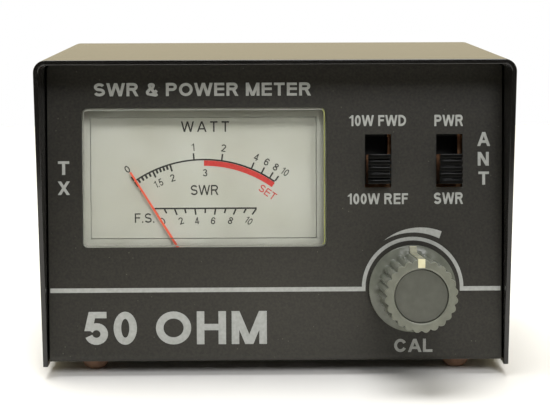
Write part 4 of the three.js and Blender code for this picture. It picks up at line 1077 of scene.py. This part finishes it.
def alphabet(t):
    """Each letter's width and its strokes."""
    h = t / 2
    e = 0.9 * t  # level bars look right a little thinner
    r = (1 - t) / 4  # half height of one of S's two bows

    def bowl(width, low, high):
        ry = (high - low - e) / 2
        rx = min(1.15 * ry, width - t)
        turn = oval(width - h - rx, (low + high) / 2, rx, ry, 0, 180)
        return ribbon([(h, high - e / 2)] + turn + [(h, low + e / 2)], t)

    def stem(left, width=t):
        return slab(left, left + width, 0, 1)

    def peak(x0, x1, x2, y0, y1):
        return [slant(x0, y0, x1, y1, t), slant(x2, y0, x1, y1, t)]

    return {
        " ": (0.22, []),
        ".": (t, [slab(0, t, 0, t)]),
        "A": (1.0, peak(h, 0.5, 1 - h, 0, 1) + [slab(0.25, 0.75, 0.22, 0.22 + e)]),
        "C": (0.92, [ribbon(oval(0.46, 0.5, 0.46 - h, 0.5 - h, 62, -242, 30), t)]),
        "D": (0.86, [stem(0), bowl(0.86, 0, 1)]),
        "E": (0.74, [stem(0)] + [slab(h, 0.74, y, y + e) for y in (0, 0.53 - e / 2, 1 - e)]),
        "F": (0.68, [stem(0), slab(h, 0.68, 1 - e, 1), slab(h, 0.62, 0.52 - e / 2, 0.52 + e / 2)]),
        "H": (0.83, [stem(0), stem(0.83 - t), slab(h, 0.83 - h, 0.52 - e / 2, 0.52 + e / 2)]),
        "L": (0.7, [stem(0), slab(h, 0.7, 0, e)]),
        "M": (1.0, [stem(0), stem(1 - t)] + peak(h, 0.5, 1 - h, 1, 0)),
        "N": (0.83, [stem(0), stem(0.83 - t), slant(h, 1, 0.83 - h, 0, t)]),
        "O": (1.0, ring(0.5, 0.5, 0.5 - h, 0.5 - h, t)),
        "P": (0.8, [stem(0), bowl(0.8, 0.4, 1)]),
        "R": (0.88, [stem(0), bowl(0.82, 0.43, 1), slant(0.5, 0.5, 0.86 - h, 0, t)]),
        "S": (
            0.82,
            [
                ribbon(
                    oval(0.41, 1 - h - r, 0.39 - h, r, 68, -180) + oval(0.41, h + r, 0.41 - h, r, 9, 252),
                    t,
                )
            ],
        ),
        "T": (0.78, [slab(0, 0.78, 1 - e, 1), stem(0.39 - h)]),
        "W": (1.36, peak(h, 0.36, 0.68, 1, 0) + peak(0.68, 1.0, 1.36 - h, 1, 0)),
        "X": (0.92, [slant(h, 0, 0.92 - h, 1, t), slant(h, 1, 0.92 - h, 0, t)]),
        "&": (
            0.92,
            [
                ribbon(
                    [(0.92 - h, 0.02), (0.3, 0.68)]
                    + oval(0.4, 0.81, 0.2 - h / 2, 0.19 - h, -100, 100, 12)
                    + [(0.5, 0.66), (0.27, 0.52)]
                    + oval(0.33, 0.28, 0.33 - h, 0.28 - h, -40, -180, 12)
                    + [(0.6, 0.16), (0.78, 0.44)],
                    t,
                )
            ],
        ),
        "0": (0.66, ring(0.33, 0.5, 0.33 - h, 0.5 - h, t)),
        "1": (0.44, [stem(0.44 - t), slant(0.05, 0.72, 0.44 - t, 0.9, 0.75 * t)]),
        "2": (
            0.66,
            [
                ribbon(oval(0.33, 0.71, 0.33 - h, 0.29 - h, -80, 118) + [(h, 0.04)], t),
                slab(0, 0.66, 0, e),
            ],
        ),
        "3": (
            0.66,
            [
                ribbon(oval(0.32, 0.745, 0.3 - h, 0.255 - h, -75, 180), t),
                ribbon(oval(0.33, 0.285, 0.33 - h, 0.285 - h, 0, 255), t),
            ],
        ),
        "4": (0.7, [stem(0.4), slab(0, 0.7, 0.22, 0.22 + e), slant(0.06, 0.26, 0.4 + h, 1, 0.9 * t)]),
        "5": (
            0.66,
            [
                slab(0.12, 0.62, 1 - e, 1),
                slant(0.1, 0.42, 0.12 + h, 1, t),
                ribbon(oval(0.33, 0.33, 0.33 - h, 0.33 - h, -62, 252), t),
            ],
        ),
        "6": (
            0.66,
            ring(0.33, 0.32, 0.33 - h, 0.32 - h, t)
            + [ribbon(oval(0.36, 0.5, 0.36 - h, 0.5 - h, -120, 58), t)],
        ),
        "8": (
            0.66,
            ring(0.33, 0.75, 0.3 - h, 0.25 - h, t) + ring(0.33, 0.28, 0.33 - h, 0.28 - h, t),
        ),
    }


SLOPING = "AWX"  # letters that leave room beside them, so their neighbours stand closer
CLOSER = 0.055


def words(text, thickness, gap=0.16):
    """A text as one closed solid, a capital high, its strokes of this thickness."""
    letters = alphabet(thickness)
    pieces = []
    across = 0.0
    for letter, following in zip(text, text[1:] + " "):
        width, strokes = letters[letter]
        pieces += [shape([(1000 * (x + across), 1000 * y) for x, y in stroke]) for stroke in strokes]
        slopes = (letter in SLOPING) + (following in SLOPING)
        across += width + gap - CLOSER * slopes
    piece = joined(pieces)
    bpy.ops.object.mode_set(mode="EDIT")
    bpy.ops.mesh.select_all(action="SELECT")
    bpy.ops.mesh.intersect_boolean(operation="UNION", use_self=True, solver="EXACT")
    bpy.ops.object.mode_set(mode="OBJECT")
    return piece


# %% [markdown]
# ## The panel's legends
#
# Each legend says what its control does. Their places are millimetres across and up the panel from the
# middle of its foot. Upright words, such as the two beside the meter, are printed letter by letter.

# %% Print the words on the panel
LEGENDS = [
    ("SWR & POWER METER", (-44.45, 8.87), (65.7, 69.1)),
    ("10W FWD", (18.2, 32.3), (58.26, 61.0)),
    ("100W REF", (17.75, 32.76), (39.0, 41.7)),
    ("PWR", (39.3, 46.4), (58.2, 61.0)),
    ("SWR", (39.2, 46.4), (38.96, 41.85)),
    ("CAL", (29.3, 38.8), (2.24, 5.53)),
    ("50 OHM", (-47.4, -2.2), (4.5, 12.7)),
    ("T", (-53.5, -50.7), (46.6, 49.95)),
    ("X", (-53.6, -50.6), (41.65, 45.0)),
    ("A", (49.9, 53.1), (53.25, 56.7)),
    ("N", (49.96, 52.81), (48.4, 51.8)),
    ("T", (50.2, 52.8), (43.7, 46.95)),
]
LEGEND_STROKE = 0.215  # thickness of a bold letter's strokes, as a share of its height
pieces = []
for text, left_right, low_high in LEGENDS:
    piece = words(text, LEGEND_STROKE)
    lay_ink(piece, on_panel(0, 0), left_right, low_high)
    pieces.append(piece)
legends = hand_over(joined(pieces), "panel_legends", "case", "pointer_cream", ink_pale)
print(legends.name, len(legends.data.polygons), "faces")

# %% [markdown]
# ## The line, the arc and the wedge round the knob
#
# A line crosses the whole panel and swells into an arc over the knob. Above the arc a wedge widens to the
# right, to say "more this way". Straight bars are four points, and round ones are worked out as arcs: the
# wedge lies between an outer and an inner arc that meet at its tip.

# %% Print the control's scale
panel_half = panel_place((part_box("chassis")[1][0], 0, 0))[0]
ARC_CENTRE = (knob_across + 0.2, KNOB_HEIGHT + 0.1)
ARC_INNER, ARC_OUTER = 11.7, 12.6
LINE_MIDDLE, LINE_WIDTH = 18.0, 1.1
WEDGE_OUTER = ((26.8, 30.0), (36.0, 33.2), (41.1, 32.2))
WEDGE_INNER = ((40.5, 30.45), (34.2, 31.95), (26.8, 30.0))


def arc_through(start, middle, end, steps=14):
    """Points of the circle's arc that passes through three points."""
    (ax, ay), (bx, by), (cx, cy) = start, middle, end
    twice = 2 * (ax * (by - cy) + bx * (cy - ay) + cx * (ay - by))
    squares = [x * x + y * y for x, y in (start, middle, end)]
    x = (squares[0] * (by - cy) + squares[1] * (cy - ay) + squares[2] * (ay - by)) / twice
    y = (squares[0] * (cx - bx) + squares[1] * (ax - cx) + squares[2] * (bx - ax)) / twice
    turns = [math.atan2(py - y, px - x) for px, py in (start, end)]
    radius = math.hypot(ax - x, ay - y)
    angles = [turns[0] + (turns[1] - turns[0]) * i / steps for i in range(steps + 1)]
    return [(x + radius * math.cos(angle), y + radius * math.sin(angle)) for angle in angles]


line_low, line_high = LINE_MIDDLE - LINE_WIDTH / 2, LINE_MIDDLE + LINE_WIDTH / 2
arc_left, arc_right = ARC_CENTRE[0] - ARC_OUTER, ARC_CENTRE[0] + ARC_OUTER
outlines = [
    slab(-panel_half + 0.3, arc_left, line_low, line_high),
    slab(arc_right, panel_half - 0.3, line_low, line_high),
    [(arc_left, line_low), (arc_left + ARC_OUTER - ARC_INNER, line_low)]
    + arc(ARC_CENTRE, ARC_INNER, -90, 90)
    + [(arc_right + ARC_INNER - ARC_OUTER, line_low), (arc_right, line_low)]
    + arc(ARC_CENTRE, ARC_OUTER, 90, -90),
    arc_through(*WEDGE_OUTER) + arc_through(*WEDGE_INNER)[:-1],
]
pieces = [shape(outline) for outline in outlines]
for piece in pieces:
    place_mesh(piece, on_panel(0, 0))
control_scale = hand_over(joined(pieces), "control_scale", "case", "pointer_cream", ink_pale)
print(control_scale.name, len(control_scale.data.polygons), "faces")

# %% [markdown]
# ## The dial's print
#
# The dial has three scales: watts outside the arc, standing-wave ratio inside it, and a straight scale of
# full-scale tenths below. All the marks point at the needle's axis or at the arc's own centre, so they
# are worked out from angles. Drawing them as thin solids keeps them sharp behind the clear window.

# %% Marks on the dial
dial_face = max(panel_place(v.co)[2] for v in frame["nodes"]["dial_plate"].data.vertices)
DIAL_CENTRE = (needle_across - 0.27, needle_up + 2.04)
ARC_RADIUS = 30.7
MARK = 0.4  # mm, thickness of the lines
SCALE_START, SCALE_END = -34.4, 35.1  # degrees clockwise from straight up
WATT_TICKS = {"1": -4.6, "2": 8.3, "4": 22.7, "6": 27.8, "8": 32.2, "10": 35.1}
RATIO_TICKS = {"1.5": -24.6, "2": -16.0}
BAND_INNER, BAND_OUTER, BAND_END = 29.13, 30.64, 35.5
TENTHS_LINE = 18.5  # mm, the straight scale above the arc's centre
TENTHS_ENDS = (-12.6, 13.14)
ODD_MARK, EVEN_MARK = 1.0, 1.4
END_MARK_INNER, END_MARK_OUTER = 29.1, 32.1  # the radii of the line through the scale's zero
WATT_MARK, RATIO_MARK, PART_MARK = 1.7, 1.8, 1.1
BAND_GAP = 0.18  # between the red band and its outer edge's line


def tick(angle, inner, outer, thick=MARK, centre=DIAL_CENTRE):
    """A mark that points at a centre, between two radii."""
    sine, cosine = math.sin(math.radians(angle)), math.cos(math.radians(angle))
    half = thick / 2
    ends = [(inner, -half), (inner, half), (outer, half), (outer, -half)]
    return [(centre[0] + r * sine + s * cosine, centre[1] + r * cosine - s * sine) for r, s in ends]


def slanted(angle, top, length):
    """A mark below the straight scale that points at the arc's centre."""
    return tick(angle, (top - length) / math.cos(math.radians(angle)), top / math.cos(math.radians(angle)))


inner_edge, outer_edge = ARC_RADIUS - MARK / 2, ARC_RADIUS + MARK / 2
outlines = [band(DIAL_CENTRE, inner_edge, outer_edge, SCALE_START, SCALE_END)]
outlines.append(tick(SCALE_START, END_MARK_INNER, inner_edge))
outlines.append(tick(SCALE_START, outer_edge, END_MARK_OUTER))
outlines += [tick(angle, outer_edge, ARC_RADIUS + WATT_MARK) for angle in WATT_TICKS.values()]
previous = SCALE_START
for angle in RATIO_TICKS.values():
    steps = [previous + (angle - previous) * i / 5 for i in (1, 2, 3, 4)]
    outlines += [tick(step, ARC_RADIUS - PART_MARK, inner_edge, 0.5) for step in steps]
    outlines.append(tick(angle, ARC_RADIUS - RATIO_MARK, inner_edge, 0.45))
    previous = angle
line_up = DIAL_CENTRE[1] + TENTHS_LINE
line_ends = [DIAL_CENTRE[0] + end for end in TENTHS_ENDS]
outlines.append(slab(*line_ends, line_up - MARK / 2, line_up + MARK / 2))
for i in range(11):
    mark_across = TENTHS_ENDS[0] + (TENTHS_ENDS[1] - TENTHS_ENDS[0]) * i / 10
    angle = math.degrees(math.atan2(mark_across, TENTHS_LINE))
    outlines.append(slanted(angle, TENTHS_LINE - MARK / 2, ODD_MARK if i % 2 else EVEN_MARK))
pieces = [shape(outline) for outline in outlines]
for piece in pieces:
    place_mesh(piece, on_panel(0, 0, dial_face))
dial_marks = hand_over(joined(pieces), "dial_marks", "case", "black_plastic", ink_black)
red_band = shape(band(DIAL_CENTRE, BAND_INNER, BAND_OUTER - BAND_GAP, 0, BAND_END))
place_mesh(red_band, on_panel(0, 0, dial_face))
hand_over(red_band, "dial_red_band", "case", "needle_red", ink_red)
print(dial_marks.name, len(outlines), "marks")

# %% Figures and words on the dial
WATT_FIGURES = [("0", -34.0, 34.2), ("1", -4.66, 33.9), ("2", 8.4, 33.9), ("4", 22.8, 33.9)]
WATT_FIGURES += [("6", 27.6, 33.9), ("8", 32.0, 33.9), ("10", 36.2, 34.2)]
RATIO_FIGURES = [("1", -34.4, 27.3), ("1.5", -24.65, 27.3), ("2", -16.7, 27.3), ("3", 0.6, 27.4)]
TENTHS_FIGURES = {"0": -10.4, "2": -5.81, "4": -1.83, "6": 2.23, "8": 6.57, "10": 11.09}
DIAL_STROKE = 0.15  # thinner strokes, as a share of a figure's height
FIGURE_WIDTH = 0.62  # of a figure's height
STOP_WIDTH = 0.22
NARROWER_ONE = 0.2


WATT_SIZE, RATIO_SIZE, TENTHS_SIZE = 1.85, 1.8, 1.77  # heights of the figures
TENTHS_ROW = 15.4  # mm, the middle of the straight scale's figures above the arc's centre
SET_PLACE, SET_TURN = (15.89, 22.45), 35.3  # mm from the arc's centre, degrees clockwise
SET_HALF = (2.3, 0.95)  # half its width and half its height


def figure(text, angle, radius, height):
    """A number that stands on a circle round the arc's centre."""
    width = sum(STOP_WIDTH if letter == "." else FIGURE_WIDTH for letter in text) * height
    if text[0] == "1":
        width -= NARROWER_ONE * height
    across = DIAL_CENTRE[0] + radius * math.sin(math.radians(angle))
    up = DIAL_CENTRE[1] + radius * math.cos(math.radians(angle))
    piece = words(text, DIAL_STROKE)
    place = on_panel(across, up, dial_face, -math.radians(angle))
    lay_ink(piece, place, (-width / 2, width / 2), (-height / 2, height / 2))
    return piece


def dial_word(text, left_right, low_high, gap=0.16):
    piece = words(text, DIAL_STROKE, gap)
    lay_ink(piece, on_panel(*DIAL_CENTRE, dial_face), left_right, low_high)
    return piece


pieces = [figure(text, angle, radius, WATT_SIZE) for text, angle, radius in WATT_FIGURES]
pieces += [figure(text, angle, radius, RATIO_SIZE) for text, angle, radius in RATIO_FIGURES]
for text, across in TENTHS_FIGURES.items():
    angle = math.degrees(math.atan2(across, TENTHS_ROW))
    pieces.append(figure(text, angle, math.hypot(across, TENTHS_ROW), TENTHS_SIZE))
pieces.append(dial_word("WATT", (-5.67, 6.33), (37.6, 40.25), 0.42))
pieces.append(dial_word("SWR", (-3.32, 3.58), (21.83, 24.36)))
pieces.append(dial_word("F.S.", (-17.36, -12.47), (14.96, 17.34)))
dial_figures = hand_over(joined(pieces), "dial_figures", "case", "black_plastic", ink_black)
set_word = words("SET", DIAL_STROKE)
set_across, set_up = (centre + shift for centre, shift in zip(DIAL_CENTRE, SET_PLACE))
set_place = on_panel(set_across, set_up, dial_face, -math.radians(SET_TURN))
lay_ink(set_word, set_place, (-SET_HALF[0], SET_HALF[0]), (-SET_HALF[1], SET_HALF[1]))
hand_over(set_word, "dial_set_word", "case", "needle_red", ink_red)
print(dial_figures.name, len(dial_figures.data.polygons), "faces")

# %% [markdown]
# ## Room, lamps and table
#
# Satin paint shows what stands round it. The room in front of the meter is dim, so the upper part of the
# leaning panel, which mirrors it, stays dark, while the lower part mirrors the pale table. Behind the
# meter is a warm light wall, which the cover's top mirrors at a glancing angle. The wall itself is shown
# white: a Light Path node gives camera rays a plain white, and all other rays the room.

# %% The room
ROOM = [(0.0, "#2e2b26"), (0.44, "#35322c"), (0.56, "#c5b998"), (1.0, "#cec3a5")]  # front to back
world = bpy.data.worlds.new("room")
bpy.context.scene.world = world
world.use_nodes = True
room_tree = world.node_tree
room_tree.nodes.clear()
direction = add_node(room_tree, "ShaderNodeTexCoord")
split = add_node(room_tree, "ShaderNodeSeparateXYZ", Vector=(direction, "Generated"))
depth = add_node(room_tree, "ShaderNodeMapRange", Value=(split, "Y"), From_Min=-1.0, From_Max=1.0)
walls = add_node(room_tree, "ShaderNodeValToRGB", Fac=(depth, 0))
for element in ROOM[2:]:
    walls.color_ramp.elements.new(element[0])
for element, (position, colour) in zip(walls.color_ramp.elements, ROOM):
    element.position = position
    element.color = linear(colour)
room_light = add_node(room_tree, "ShaderNodeBackground", Color=(walls, 0), Strength=1.0)
white = add_node(room_tree, "ShaderNodeBackground", Color=linear("#ffffff"), Strength=1.0)
rays = add_node(room_tree, "ShaderNodeLightPath")
seen = add_node(
    room_tree, "ShaderNodeMixShader", Fac=(rays, "Is Camera Ray"), _1=(room_light, 0), _2=(white, 0)
)
add_node(room_tree, "ShaderNodeOutputWorld", Surface=(seen, 0))

# %% The table and the lamps
bpy.ops.object.select_all(action="DESELECT")
bpy.ops.mesh.primitive_plane_add(size=0.8, location=(0, 0.08, 0))
table = bpy.context.object
table.name = "table"
table_paint, _, table_surface, _ = new_surface("pale_table", Roughness=0.9)
table_surface.inputs["Base Color"].default_value = linear("#fbfaf7")
table.data.materials.append(table_paint)


def lamp(name, spot, size, watts, colour="#ffffff"):
    """A round soft lamp that is aimed at the meter."""
    bpy.ops.object.light_add(type="AREA", location=spot)
    made = bpy.context.object
    made.name = name
    made.data.shape = "DISK"
    made.data.size = size
    made.data.energy = watts
    made.data.color = linear(colour)[:3]
    made.rotation_euler = (Vector((0, 0, 0.03)) - Vector(spot)).to_track_quat("-Z", "Y").to_euler()
    return made


lamp("ceiling_lamp", (-0.1, 0.1, 1.1), 0.9, 15)
lamp("front_lamp", (0.2, -0.85, 0.75), 0.55, 6)
print("room, table and two lamps")
